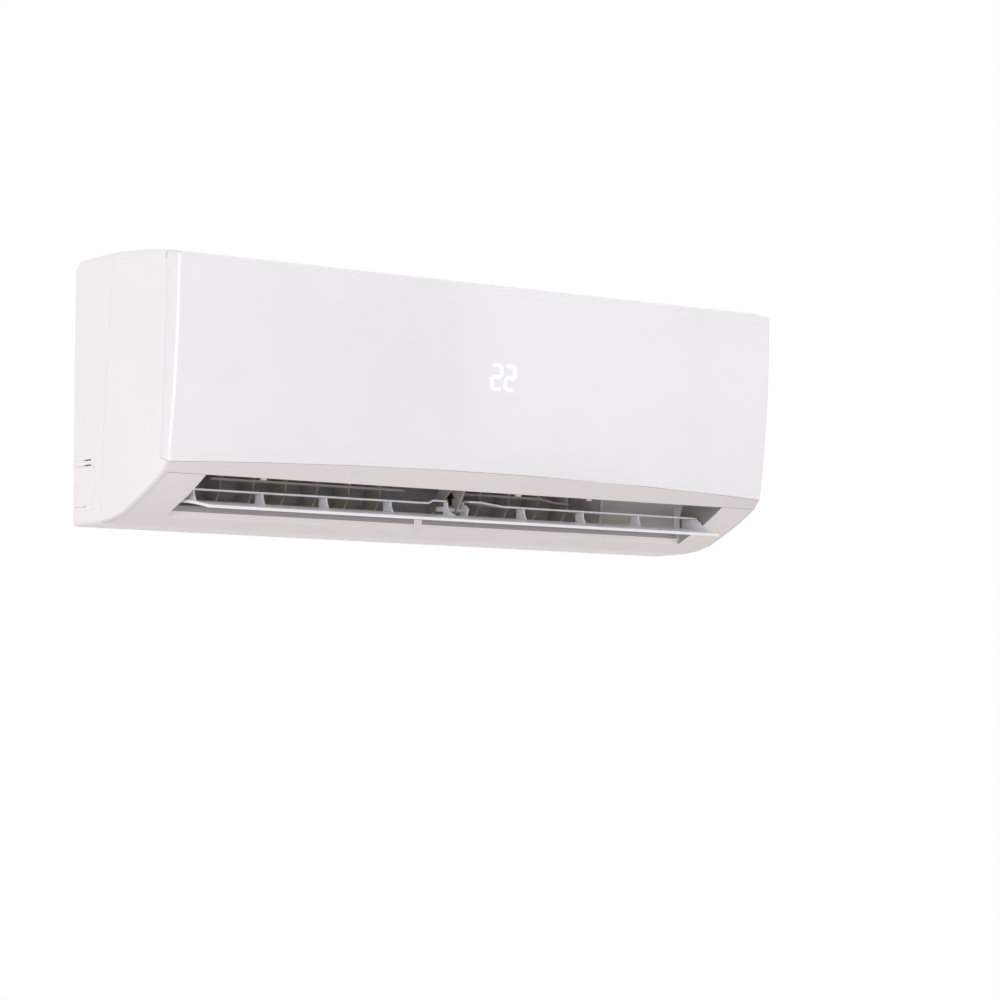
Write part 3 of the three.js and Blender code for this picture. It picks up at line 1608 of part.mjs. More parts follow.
function louvreBracket() {
  const right = [bracketRight, bracketRight + bracketThickness];
  const left = [bracketLeft, bracketLeft + bracketThickness];
  const eye = arc(louvrePivot, bracketEye, 180, 350, 8);
  const carrier = prism([...eye, ...bracketShares.map(place)], ...right).subtract(
    rod([right[0] - wall, right[1] + wall], louvrePivot, hubPinRadius + touch),
  );
  return joined(
    carrier,
    prism(bracketRibShares.map(place), ...left),
    prism(bracketRootShares.map(place), left[0] - bracketRootReach, right[1] + bracketRootReach),
  );
}

// Vanes on pins in the duct's floor, in a group of six and a group of four, each joined by a link bar
const vaneTilt = 14;
const vaneGroupCentre = -12.5;
const vaneLeftCount = 6;
const vaneRightCount = 4;
const vaneCentreGap = 135.8;
const pegReach = 11;
const pegHeight = 32.9;
const vaneChord = 28;
const vaneTipLap = 1.6;
const vaneHeight = fanCentre[1] - fanRadius - vaneFoot[1] + vaneTipLap;
const vaneSlotReach = 4;
const vanePinLength = 4.2;
const vaneFootHeight = 1.6;
const vaneFootRadius = 1.5 * vanePinRadius;
const vaneLift = 0.8;
const barThickness = 2.6;
const barWidth = 5;
const barDrop = 3.6;
const barDropShares = [0.08, 0.6];
const barOverhangs = {
  left: [12, 32],
  right: [22, 4],
};
const vanePlacesLeft = Array.from(
  { length: vaneLeftCount },
  (_, i) => vaneGroupCentre - vaneCentreGap / 2 - (vaneLeftCount - 1 - i) * vanePitch,
);
const vanePlacesRight = Array.from(
  { length: vaneRightCount },
  (_, i) => vaneGroupCentre + vaneCentreGap / 2 + i * vanePitch,
);
const vanePlaces = [...vanePlacesLeft, ...vanePlacesRight];
const vaneRow = new THREE.Group();
vaneRow.position.set(0, -vaneFoot[0], vaneFoot[1]);
vaneRow.rotation.x = THREE.MathUtils.degToRad(vaneTilt);
unit.add(vaneRow);

// A round pin along a vane's own axis, in the unit's frame
function vaneRod(x, radius, from, to) {
  const geometry = new THREE.CylinderGeometry(radius, radius, to - from, smallSides);
  geometry.rotateX(Math.PI / 2).translate(x, 0, (from + to) / 2);
  geometry.rotateX(vaneRow.rotation.x).translate(0, -vaneFoot[0], vaneFoot[1]);
  return solid(geometry);
}

const vaneShares = [
  [0.07, 0.031],
  [0.221, 0.09],
  [0.407, 0.265],
  [0.504, 0.485],
  [0.486, 0.752],
  [0.479, 1],
  [-0.429, 0.757],
  [-0.5, 0.658],
];

function vane(x, drop) {
  const half = vaneThickness / 2;
  const slotHalf = barThickness / 2 + touch;
  const sides = vaneShares.map(([u, v]) => [u * vaneChord, v * vaneHeight]);
  const blade = prism([...sides, [sides.at(-1)[0], vaneLift], [-sides[0][0], vaneLift]], x - half, x + half);
  const slot = box(
    [x - vaneThickness, x + vaneThickness],
    [pegReach - vaneSlotReach, pegReach + vaneChord],
    [pegHeight - drop - slotHalf, pegHeight - drop + slotHalf],
  );
  const barLevel = pegHeight - drop;
  const peg = pillar([x, pegReach], [barLevel - barThickness, barLevel + barThickness], pegRadius);
  const pin = pillar([x, 0], [touch - wall, touch - wall + vanePinLength], vanePinRadius);
  const foot = pillar([x, 0], [vaneLift, vaneLift + vaneFootHeight], vaneFootRadius);
  return joined(blade.subtract(slot), peg, pin, foot);
}

function linkBar(places, overhang, drop) {
  const ends = [places[0] - overhang[0], places.at(-1) + overhang[1]];
  const bend = barDropShares.map((share) => THREE.MathUtils.lerp(places.at(-2), places.at(-1), share));
  const line = [
    [ends[0], pegHeight],
    [bend[0], pegHeight],
    [bend[1], pegHeight - drop],
    [ends[1], pegHeight - drop],
  ];
  const outline = [
    ...line.map(([x, z]) => [x, z - barThickness / 2]),
    ...line.map(([x, z]) => [x, z + barThickness / 2]).reverse(),
  ];
  const straight = [outline[0], outline[3], outline[4], outline[7]];
  const bar = plate(drop ? outline : straight, ...centred(pegReach, barWidth));
  const holes = places.map((x) =>
    pillar([x, pegReach], [pegHeight - drop - barThickness, pegHeight + barThickness], pegRadius + touch),
  );
  return holes.reduce((whole, hole) => whole.subtract(hole), bar);
}

// Assembly
add("wall_plate", wallPlate(), "steel");
add("rear_chassis", rearChassis(), "casing");
add("front_frame", frontFrame(), "casing");
add("outlet_surround", outletSurround(), "lower");
add("pipe_cover_left", pipeCover(-1), "casing");
add("pipe_cover_right", pipeCover(1), "casing");
add("front_panel", frontPanel(), "gloss");
add("display_housing", displayHousing(), "box");
add("display_board", displayBoard(), "board");
add("display_lens", displayLens(), "lens");
add("filter_left", filter(filterSpans[0]), "mesh");
add("filter_right", filter(filterSpans[1]), "mesh");
add("coil_front_lower", prism(lowerSlab, ...coilEnds), "fins");
add("coil_front_upper", prism(upperSlab, ...coilEnds), "fins");
add("coil_rear", prism(rearSlab, ...coilEnds), "fins");
add("coil_end_left", coilEnd(-1), "copper");
add("coil_end_right", coilEnd(1), "copper");
add("suction_pipe", tube(suctionRoute, suctionRadius, pipeBend, pipeSides, pipeSteps), "copper");
add("liquid_pipe", tube(liquidRoute, liquidRadius, pipeBend, pipeSides, pipeSteps), "copper");
add("flare_nut_large", flareNut(suctionRoute.at(-1), suctionRadius), "brass");
add("flare_nut_small", flareNut(liquidRoute.at(-1), liquidRadius), "brass");
add("cross_flow_fan", crossFlowFan(), "fan");
add("motor_shaft", motorShaft(), "steel");
add("fan_bearing", fanBearing(), "rubber");
add("bearing_holder", bearingHolder(), "box");
add("fan_motor", fanMotor(), "steel");
add("motor_clamp", motorClamp(), "box");
add("drain_pan", drainPan(), "duct");
add("drain_spigot", drainEnd(-1, true), "rubber");
add("drain_plug", drainEnd(1, false), "rubber");
add("control_box", controlBox(), "box");
add("control_box_cover", controlBoxCover(), "steel");
add("main_board", mainBoard(), "board");
add("terminal_block", terminalBlock(), "box");
add("room_sensor", roomSensor(), "box");
add("manual_button", manualButton(), "casing");
add("louvre_motor", louvreMotor(), "box");
add("louvre_bracket", louvreBracket(), "vane");
add("louvre_outer_blade", louvreOuterBlade(), "louvre", louvre);
add("louvre_inner_left", louvreInnerBlade(-1), "louvre", louvre);
add("louvre_inner_right", louvreInnerBlade(1), "louvre", louvre);
const lastRight = vanePlacesRight.length - 1;
vanePlacesLeft.forEach((x, i) => add(`vane_left_${i + 1}`, vane(x, 0), "vane", vaneRow));
vanePlacesRight.forEach((x, i) =>
  add(`vane_right_${i + 1}`, vane(x, i === lastRight ? barDrop : 0), "vane", vaneRow),
);
add("link_bar_left", linkBar(vanePlacesLeft, barOverhangs.left, 0), "vane", vaneRow);
add("link_bar_right", linkBar(vanePlacesRight, barOverhangs.right, barDrop), "vane", vaneRow);
add("screw_cap", screwCap(), "lower");
add("casing_screw", casingScrew(), "steel");

export default part;
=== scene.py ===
# Looks of a split air conditioner's indoor unit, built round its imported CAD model.
# Blender's metres, in the CAD frame: X to the right, Y into the wall, Z up. Named sizes are in millimetres,
# except that the floor, the lamps, and the camera's place and reach are in metres.

import json
import math

import bmesh
import bpy
from mathutils import Matrix, Vector

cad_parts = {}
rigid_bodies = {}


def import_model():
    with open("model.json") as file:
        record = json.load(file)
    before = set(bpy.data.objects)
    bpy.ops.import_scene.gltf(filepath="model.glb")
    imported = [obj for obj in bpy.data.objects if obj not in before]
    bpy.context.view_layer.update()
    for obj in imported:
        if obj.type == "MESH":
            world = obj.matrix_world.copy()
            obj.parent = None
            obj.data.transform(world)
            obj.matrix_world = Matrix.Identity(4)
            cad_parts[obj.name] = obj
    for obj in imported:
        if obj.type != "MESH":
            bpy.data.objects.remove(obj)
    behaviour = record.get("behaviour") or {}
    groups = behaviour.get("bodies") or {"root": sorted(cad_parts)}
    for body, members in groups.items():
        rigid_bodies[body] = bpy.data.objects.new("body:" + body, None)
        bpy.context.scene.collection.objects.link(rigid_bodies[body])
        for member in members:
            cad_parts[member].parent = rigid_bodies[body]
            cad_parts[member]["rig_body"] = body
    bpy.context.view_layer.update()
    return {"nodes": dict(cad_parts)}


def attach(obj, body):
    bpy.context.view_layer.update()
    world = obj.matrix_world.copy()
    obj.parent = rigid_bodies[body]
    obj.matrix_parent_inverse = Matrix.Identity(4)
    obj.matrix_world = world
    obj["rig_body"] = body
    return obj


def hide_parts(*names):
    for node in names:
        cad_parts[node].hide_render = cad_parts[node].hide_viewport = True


MM = 0.001

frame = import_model()


# Materials: scales of a pattern count its repeats in a metre, and a span is the part of its values that shows
NOISE_SPAN = (0.3, 0.7)
MOTTLE_SPAN = (0.35, 0.65)
MOTTLE_SCALE = 7.0
SHEEN_SCALE = 38.0
SHEEN_DROP = 0.04
SHEEN_RISE = 0.05
COAT_ROUGHNESS = 0.08
BRUSH_SCALE = 220.0
BRUSH_DROP = 0.08
BRUSH_RISE = 0.1
TARNISH = 0.05
FIN_SPAN = (0.25, 0.6)
FIN_GAP_PAINTED_SHADE = 0.25
FIN_METALLIC = 0.85
THREAD_SPAN = (0.7, 0.9)
HOLE_PAINTED_SHADE = 0.35
GLOW_SCALE = 300.0
GLOW_LOW = 0.94
WHITE = (1.0, 1.0, 1.0, 1.0)


def srgb(red, green, blue):
    """Linear colour of an 8-bit screen colour."""

    def channel(value):
        share = value / 255
        return share / 12.92 if share <= 0.04045 else ((share + 0.055) / 1.055) ** 2.4

    return (channel(red), channel(green), channel(blue), 1.0)


def shade(colour, factor):
    """A darker or paler colour, with no channel above full."""
    return tuple(min(1.0, part * factor) for part in colour[:3]) + (1.0,)


class Shader:
    """A material with one principled shader, patterned in the object's own metres."""

    def __init__(self, name):
        self.material = bpy.data.materials.new(name)
        self.material.use_nodes = True
        self.tree = self.material.node_tree
        self.tree.nodes.clear()
        output = self.node("ShaderNodeOutputMaterial")
        self.principled = self.node("ShaderNodeBsdfPrincipled")
        self.link(self.principled.outputs["BSDF"], output.inputs["Surface"])
        self.place = self.node("ShaderNodeTexCoord").outputs["Object"]

    def node(self, kind, **settings):
        made = self.tree.nodes.new(kind)
        for key, value in settings.items():
            setattr(made, key, value)
        return made

    def link(self, source, target):
        self.tree.links.new(source, target)

    def fixed(self, name, value):
        """Sets what is the same all over the surface."""
        self.principled.inputs[name].default_value = value

    def varied(self, name, value):
        """Links what changes over the surface."""
        self.link(value, self.principled.inputs[name])

    def noise(self, scale, detail=3.0, stretch=None):
        made = self.node("ShaderNodeTexNoise")
        made.inputs["Scale"].default_value = scale
        made.inputs["Detail"].default_value = detail
        place = self.place
        if stretch:
            mapping = self.node("ShaderNodeMapping")
            mapping.inputs["Scale"].default_value = stretch
            self.link(place, mapping.inputs["Vector"])
            place = mapping.outputs["Vector"]
        self.link(place, made.inputs["Vector"])
        return made.outputs["Fac"]

    def ranged(self, value, span, new_span=(0.0, 1.0)):
        """A value whose span is stretched to a new one and held at its ends."""
        made = self.node("ShaderNodeMapRange")
        for name, number in zip(("From Min", "From Max", "To Min", "To Max"), span + new_span):
            made.inputs[name].default_value = number
        self.link(value, made.inputs["Value"])
        return made.outputs["Result"]

    def mixed(self, factor, first, second):
        """A colour between two fixed ones."""
        made = self.node("ShaderNodeMix", data_type="RGBA")
        self.link(factor, made.inputs["Factor"])
        for name, colour in (("A", first), ("B", second)):
            socket = next(s for s in made.inputs if s.name == name and s.type == "RGBA")
            socket.default_value = colour
        return next(s for s in made.outputs if s.type == "RGBA")

    def combined(self, operation, first, second=0.0):
        """One or two values, linked or plain numbers, put through an operation."""
        made = self.node("ShaderNodeMath", operation=operation)
        for socket, value in zip(made.inputs, (first, second)):
            if isinstance(value, float):
                socket.default_value = value
            else:
                self.link(value, socket)
        return made.outputs["Value"]

    def wave(self, axis, pitch):
        """A value that rises and falls from 0 to 1 once in each pitch along an axis."""
        parts = self.node("ShaderNodeSeparateXYZ")
        self.link(self.place, parts.inputs["Vector"])
        turns = self.combined("MULTIPLY", parts.outputs[axis], 2 * math.pi / (pitch * MM))
        return self.combined("MULTIPLY", self.combined("ADD", self.combined("SINE", turns), 1.0), 0.5)

    def mottle(self, colour, amount):
        """Base colour with broad, faint patches."""
        patches = self.ranged(self.noise(MOTTLE_SCALE), MOTTLE_SPAN)
        self.varied("Base Color", self.mixed(patches, shade(colour, 1 - amount), shade(colour, 1 + amount)))

    def sheen(self, rough):
        """Roughness that drifts a little from place to place."""
        drift = self.noise(SHEEN_SCALE, detail=4.0)
        self.varied("Roughness", self.ranged(drift, NOISE_SPAN, (rough - SHEEN_DROP, rough + SHEEN_RISE)))

    def relief(self, height, strength, depth):
        """Fine unevenness of the surface."""
        made = self.node("ShaderNodeBump")
        made.inputs["Strength"].default_value = strength
        made.inputs["Distance"].default_value = depth * MM
        self.link(height, made.inputs["Height"])
        self.varied("Normal", made.outputs["Normal"])


def moulded(name, colour, rough, mottle=0.012, grain=1600.0, depth=0.02, strength=0.25, coat=0.0):
    """Moulded plastic or rubber: a faint mottle, a fine grain and an uneven sheen."""
    finish = Shader(name)
    finish.mottle(colour, mottle)
    finish.sheen(rough)
    finish.relief(finish.noise(grain), strength, depth)
    finish.fixed("Coat Weight", coat)
    finish.fixed("Coat Roughness", COAT_ROUGHNESS)
    return finish


def brushed(name, colour, rough, stretch):
    """Metal with fine lines along one direction and a slow tarnish."""
    finish = Shader(name)
    lines = finish.noise(BRUSH_SCALE, stretch=stretch)
    finish.mottle(colour, TARNISH)
    finish.varied("Roughness", finish.ranged(lines, NOISE_SPAN, (rough - BRUSH_DROP, rough + BRUSH_RISE)))
    finish.relief(lines, strength=0.35, depth=0.03)
    finish.fixed("Metallic", 1.0)
    return finish


def finned(name, colour, rough, pitch):
    """Bare aluminium fins, one at each pitch along X, with painted shade in the gaps between them."""
    finish = Shader(name)
    fins = finish.wave("X", pitch)
    tops = finish.ranged(fins, FIN_SPAN)
    # The gaps between the fins are painted darker, as shade
    finish.varied("Base Color", finish.mixed(tops, shade(colour, FIN_GAP_PAINTED_SHADE), colour))
    finish.sheen(rough)
    finish.relief(fins, strength=0.9, depth=0.4)
    finish.fixed("Metallic", FIN_METALLIC)
    return finish


def meshed(name, colour, rough, pitch):
    """A fine net of square holes on a thin sheet, with painted shade in the holes."""
    finish = Shader(name)
    threads = finish.combined("MAXIMUM", finish.wave("X", pitch), finish.wave("Z", pitch))
    net = finish.ranged(threads, THREAD_SPAN)
    # The holes are painted darker, as shade seen through them
    finish.varied("Base Color", finish.mixed(net, shade(colour, HOLE_PAINTED_SHADE), colour))
    finish.sheen(rough)
    finish.relief(net, strength=0.8, depth=0.2)
    return finish


def glowing(name, colour, strength):
    """Plastic that gives off a slightly uneven light."""
    finish = moulded(name, colour, rough=0.35)
    glow = finish.ranged(finish.noise(GLOW_SCALE, detail=2.0), NOISE_SPAN, (GLOW_LOW * strength, strength))
    finish.fixed("Emission Color", colour)
    finish.varied("Emission Strength", glow)
    return finish


gloss_white = moulded("gloss_white", srgb(238, 236, 239), 0.2, grain=260.0, depth=0.006, coat=0.35)
casing_white = moulded("casing_white", srgb(243, 240, 241), 0.42)
# A slightly darker, warmer copy of the casing white for the lower pieces, as painted shade
lower_white = moulded("lower_white", srgb(241, 236, 235), 0.45)
louvre_white = moulded("louvre_white", srgb(243, 243, 247), 0.3)
louvre_white.fixed("Subsurface Weight", 0.4)
louvre_white.fixed("Subsurface Radius", (1.0, 1.0, 1.0))
louvre_white.fixed("Subsurface Scale", 6 * MM)
# A darker, warmer white painted on the frame's downward faces, as shade
chin_painted_shade = moulded("chin_painted_shade", srgb(229, 222, 222), 0.45)
duct_grey = moulded("duct_grey", srgb(243, 236, 233), 0.4, mottle=0.03)
# A grey painted on the lip below the duct and on the mouth's cheeks, as shade
lip_painted_shade = moulded("lip_painted_shade", srgb(162, 157, 157), 0.45, mottle=0.02)
vane_grey = moulded("vane_grey", srgb(196, 188, 178), 0.45, mottle=0.02)
fan_grey = moulded("fan_grey", srgb(70, 70, 72), 0.5, mottle=0.03)
filter_net = meshed("filter_net", srgb(128, 133, 138), 0.7, pitch=1.6)
coil_fins = finned("coil_fins", srgb(214, 217, 219), 0.32, pitch=1.8)
copper = brushed("copper", srgb(190, 116, 76), 0.32, stretch=(1.0, 1.0, 0.15))
brass = brushed("brass", srgb(204, 170, 96), 0.3, stretch=(0.15, 1.0, 1.0))
steel = brushed("zinc_steel", srgb(196, 198, 199), 0.36, stretch=(0.1, 1.0, 1.0))
rubber = moulded("rubber", srgb(44, 43, 43), 0.78, mottle=0.05, strength=0.4)
box_plastic = moulded("box_plastic", srgb(222, 220, 215), 0.55)
board_green = moulded("board_green", srgb(46, 106, 62), 0.4, mottle=0.06)
lens_white = moulded("lens_white", srgb(226, 227, 232), 0.15, coat=0.6)
digit_light = glowing("digit_light", WHITE, 0.9)
mark_dark = moulded("mark_dark", srgb(38, 36, 36), 0.6)


# Meshes
SHARP_ANGLE = math.radians(30.0)
FLAT_ANGLE = math.radians(0.7)
JOIN_DISTANCE = 0.002
EDGE_SEGMENTS = 2


def tidy_mesh(name, build):
    """A mesh object from a filled bmesh, smooth except across sharp edges."""
    bmesh.ops.recalc_face_normals(build, faces=build.faces)
    for face in build.faces:
        face.smooth = True
    for edge in build.edges:
        edge.smooth = len(edge.link_faces) == 2 and edge.calc_face_angle(0.0) < SHARP_ANGLE
    mesh = bpy.data.meshes.new(name)
    build.to_mesh(mesh)
    build.free()
    custom_normal = mesh.attributes.get("custom_normal")
    if custom_normal is not None:
        mesh.attributes.remove(custom_normal)
    made = bpy.data.objects.new(name, mesh)
    bpy.context.scene.collection.objects.link(made)
    return made


def band(build, near, far):
    """Faces all the way round between two rows of vertices."""
    for i in range(len(near)):
        j = (i + 1) % len(near)
        build.faces.new((near[i], near[j], far[j], far[i]))


def swept(build, rings):
    """Closed skin through rings of points with a cap at each end."""
    rows = [[build.verts.new(point) for point in ring] for ring in rings]
    for near, far in zip(rows, rows[1:]):
        band(build, near, far)
    build.faces.new(rows[0][::-1])
    build.faces.new(rows[-1])


def soften(piece, width):
    """Rounds the sharp edges of a piece."""
    bevel = piece.modifiers.new("edges", "BEVEL")
    bevel.limit_method = "ANGLE"
    bevel.angle_limit = SHARP_ANGLE
    bevel.width = width * MM
    bevel.segments = EDGE_SEGMENTS
    bevel.harden_normals = True
    bevel.use_clamp_overlap = True


def paint(piece, *finishes):
    """Gives a piece its materials, the main one first."""
    for finish in finishes:
        piece.data.materials.append(finish.material)


# Accents: faces that take a second material, by their place and by how far their unit normal leans: painted
# shade on the lip, the cheeks and the chin, and a slightly warmer white lining the duct
DUCT_HALF = 352.0
DUCT_TOP = -45.0
DUCT_FLOOR = -122.0
DUCT_REAR = 45.0
LIP_REAR = 76.0
LIP_FRONT = 94.0
LIP_TOP = -118.0
CHEEK_FACE = 350.0
CHEEK_REACH = 1.0
LEANS_FORWARD = 0.05
LEANS_UP = 0.2
LEANS_DOWN = 0.3
LEANS_SIDEWAYS = 0.5
FACES_STRAIGHT = 0.9


def in_duct(centre, normal):
    """Faces of the chassis that line the air duct."""
    depth = -centre.y
    if abs(centre.x) > DUCT_HALF or not DUCT_FLOOR < centre.z < DUCT_TOP or not DUCT_REAR < depth < LIP_FRONT:
        return False
    leans = normal.y < -LEANS_FORWARD or normal.z > LEANS_UP or abs(normal.x) > LEANS_SIDEWAYS
    return depth > LIP_REAR or leans


def on_lip(centre, normal):
    """Upright faces of the lip below the duct, which take painted shade."""
    return LIP_REAR < -centre.y < LIP_FRONT and centre.z < LIP_TOP and normal.y < -FACES_STRAIGHT


def on_cheek(centre, normal):
    """Inner sides of the mouth's cheeks, which take painted shade."""
    return abs(abs(centre.x) - CHEEK_FACE) < CHEEK_REACH and abs(normal.x) > FACES_STRAIGHT


def faces_down(centre, normal):
    """Faces that look towards the floor, such as the chin's, which take painted shade."""
    return normal.z < -LEANS_DOWN


PAINTED_SHADE_AND_DUCT = {
    "rear_chassis": [(lip_painted_shade, on_lip), (duct_grey, in_duct)],
    "outlet_surround": [(lip_painted_shade, on_cheek)],
    "front_frame": [(chin_painted_shade, faces_down)],
}

# For each material slot, its finish and the nodes that wear it, each with the width of its softened edges
FINISHES = {
    "gloss_white": (gloss_white, {"front_panel": 0.7}),
    "casing_white": (
        casing_white,
        {
            "rear_chassis": 0.35,
            "front_frame": 0.35,
            "pipe_cover_left": 0.15,
            "pipe_cover_right": 0.15,
            "manual_button": 0.4,
        },
    ),
    "lower_white": (lower_white, {"outlet_surround": 0.35, "screw_cap": 0.25}),
    "louvre_white": (
        louvre_white,
        {"louvre_outer_blade": 0.25, "louvre_inner_left": 0.25, "louvre_inner_right": 0.25},
    ),
    "duct_grey": (duct_grey, {"drain_pan": 0.25}),
    "vane_grey": (
        vane_grey,
        {
            **{f"vane_left_{i}": 0.2 for i in range(1, 7)},
            **{f"vane_right_{i}": 0.2 for i in range(1, 5)},
            "link_bar_left": 0.2,
            "link_bar_right": 0.2,
            "louvre_bracket": 0.25,
        },
    ),
    "filter_mesh": (filter_net, {"filter_left": 0.15, "filter_right": 0.15}),
    "fins": (coil_fins, {"coil_front_lower": 0.2, "coil_front_upper": 0.2, "coil_rear": 0.2}),
    "copper": (
        copper,
        {"coil_end_left": 0.2, "coil_end_right": 0.2, "suction_pipe": 0.1, "liquid_pipe": 0.1},
    ),
    "brass": (brass, {"flare_nut_large": 0.3, "flare_nut_small": 0.3}),
    "steel": (
        steel,
        {
            "wall_plate": 0.2,
            "motor_shaft": 0.2,
            "fan_motor": 0.4,
            "control_box_cover": 0.2,
            "casing_screw": 0.15,
        },
    ),
    "rubber": (rubber, {"fan_bearing": 0.3, "drain_spigot": 0.3, "drain_plug": 0.3}),
    "box_plastic": (
        box_plastic,
        {
            "display_housing": 0.25,
            "bearing_holder": 0.3,
            "motor_clamp": 0.3,
            "control_box": 0.3,
            "terminal_block": 0.25,
            "room_sensor": 0.25,
            "louvre_motor": 0.3,
        },
    ),
    "board": (board_green, {"display_board": 0.15, "main_board": 0.15}),
    "lens": (lens_white, {"display_lens": 0.2}),
}


def dressed(node, finish, edge):
    """A copy of a CAD node with joined faces and softened edges, which stands for the node."""
    source = frame["nodes"][node]
    shade_and_duct_faces = PAINTED_SHADE_AND_DUCT.get(node, [])
    build = bmesh.new()
    build.from_mesh(source.data)
    bmesh.ops.remove_doubles(build, verts=build.verts, dist=JOIN_DISTANCE * MM)
    bmesh.ops.dissolve_limit(build, angle_limit=FLAT_ANGLE, verts=build.verts, edges=build.edges)
    # Faces picked by a test take its material: painted shade on the lip, the cheeks and the chin, a warmer
    # white in the duct
    if shade_and_duct_faces:
        bmesh.ops.recalc_face_normals(build, faces=build.faces)
        for face in build.faces:
            centre = face.calc_center_median() / MM
            hits = (i for i, (_, chosen) in enumerate(shade_and_duct_faces, 1) if chosen(centre, face.normal))
            face.material_index = next(hits, 0)
    piece = tidy_mesh(node + "_looks", build)
    soften(piece, edge)
    paint(piece, finish, *[accent for accent, _ in shade_and_duct_faces])
    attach(piece, source["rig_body"])
    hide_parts(node)


# Cross-flow fan: its centre's distance from the wall and height, its ends along X, its sweep in degrees
FAN_CENTRE = (80.01, -28.0)
FAN_ENDS = (-327.5, 227.0)
FAN_RADIUS = 45.6
BLADE_COUNT = 35
BLADE_INNER = 33.0
BLADE_OUTER = 45.2
BLADE_SWEEP = 16.0
BLADE_CURVE = 1.6
BLADE_THICKNESS = 1.1
BLADE_STEPS = 6
RING_GAPS = 9
RING_THICKNESS = 2.0
RING_INNER = 31.0
RING_SIDES = 2 * BLADE_COUNT
AXLE_RADIUS = 3.9
AXLE_LENGTH = 21.8
HUB_RADIUS = 8.6
HUB_LENGTH = 12.0
ROOT_DEPTH = 1.0
ROD_SIDES = 24


def fan_point(x, radius, degrees):
    turn = math.radians(degrees)
    return (
        x * MM,
        -(FAN_CENTRE[0] + radius * math.cos(turn)) * MM,
        (FAN_CENTRE[1] + radius * math.sin(turn)) * MM,
    )


def fan_circle(x, radius, sides):
    return [fan_point(x, radius, 360.0 * i / sides) for i in range(sides)]


def blade_section(start):
    """Radius and angle round a blade's section, which is thickest in its middle."""
    front = []
    back = []
    for step in range(BLADE_STEPS + 1):
        share = step / BLADE_STEPS
        radius = BLADE_INNER + (BLADE_OUTER - BLADE_INNER) * share
        angle = start + BLADE_SWEEP * share**BLADE_CURVE
        fullness = (1 + math.sin(math.pi * share)) / 2
        front.append((radius, angle))
        back.append((radius, angle + math.degrees(BLADE_THICKNESS / radius) * fullness))
    return front + back[::-1]


def fan_wheel():
    """Curved blades through rings and two end discs, with an axle on the left and a hub on the right."""
    build = bmesh.new()
    for blade in range(BLADE_COUNT):
        section = blade_section(360.0 * blade / BLADE_COUNT)
        swept(build, [[fan_point(x, radius, angle) for radius, angle in section] for x in FAN_ENDS])
    for i in range(RING_GAPS + 1):
        x = FAN_ENDS[0] + (FAN_ENDS[1] - RING_THICKNESS - FAN_ENDS[0]) * i / RING_GAPS
        faces = (x, x + RING_THICKNESS)
        outer = [fan_circle(face, FAN_RADIUS, RING_SIDES) for face in faces]
        if i in (0, RING_GAPS):
            swept(build, outer)
            continue
        inner = [fan_circle(face, RING_INNER, RING_SIDES) for face in faces]
        rows = [[build.verts.new(point) for point in circle] for circle in outer + inner[::-1]]
        for near, far in zip(rows, rows[1:] + rows[:1]):
            band(build, near, far)
    for radius, ends in (
        (AXLE_RADIUS, (FAN_ENDS[0] - AXLE_LENGTH, FAN_ENDS[0] + ROOT_DEPTH)),
        (HUB_RADIUS, (FAN_ENDS[1] - HUB_LENGTH, FAN_ENDS[1] - ROOT_DEPTH)),
    ):
        swept(build, [fan_circle(x, radius, ROD_SIDES) for x in ends])
    piece = tidy_mesh("fan_wheel", build)
    paint(piece, fan_grey)
    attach(piece, frame["nodes"]["cross_flow_fan"]["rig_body"])
    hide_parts("cross_flow_fan")


fan_wheel()
for slot, (finish, nodes) in FINISHES.items():
    for node, edge in nodes.items():
        dressed(node, finish, edge)


# The panel's front: distance from the wall and height of its top and its foot
PANEL_TOP = (194.2, 126.0)
PANEL_FOOT = (177.4, -82.1)
PANEL_LEAN_POWER = 2.2


def panel_face(z):
    """Distance of the panel's front from the wall at a height."""
    share = (PANEL_TOP[1] - z) / (PANEL_TOP[1] - PANEL_FOOT[1])
    return PANEL_TOP[0] - (PANEL_TOP[0] - PANEL_FOOT[0]) * share**PANEL_LEAN_POWER


# Display digits: the light of two seven-segment numerals, with their size and centre across and up
DIGIT_SIZE = (12.6, 25.4)
DIGIT_PITCH = 18.4
DIGIT_STROKE = 3.2
DIGIT_TRIM = 2.3
DIGIT_CENTRE = (15.2, 29.8)
DIGIT_RISE = 0.12
DIGIT_SINK = 0.1
CAP_STEPS = 6

# Strokes of the numeral 2 from top to foot, each with its ends in widths across and half heights up
TWO_STROKES = [
    ((0, 2), (1, 2)),
    ((1, 1), (1, 2)),
    ((0, 1), (1, 1)),
    ((0, 0), (0, 1)),
    ((0, 0), (1, 0)),
]


def stroke(start, end, radius):
    """Outline of a stroke with round ends."""
    along = (end - start).normalized()
    across = Vector((-along.y, along.x))
    ring = []
    for centre, facing in ((end, 1), (start, -1)):
        for i in range(CAP_STEPS + 1):
            turn = math.pi * (i / CAP_STEPS - 0.5)
            ring.append(centre + (along * math.cos(turn) + across * math.sin(turn)) * radius * facing)
    return ring


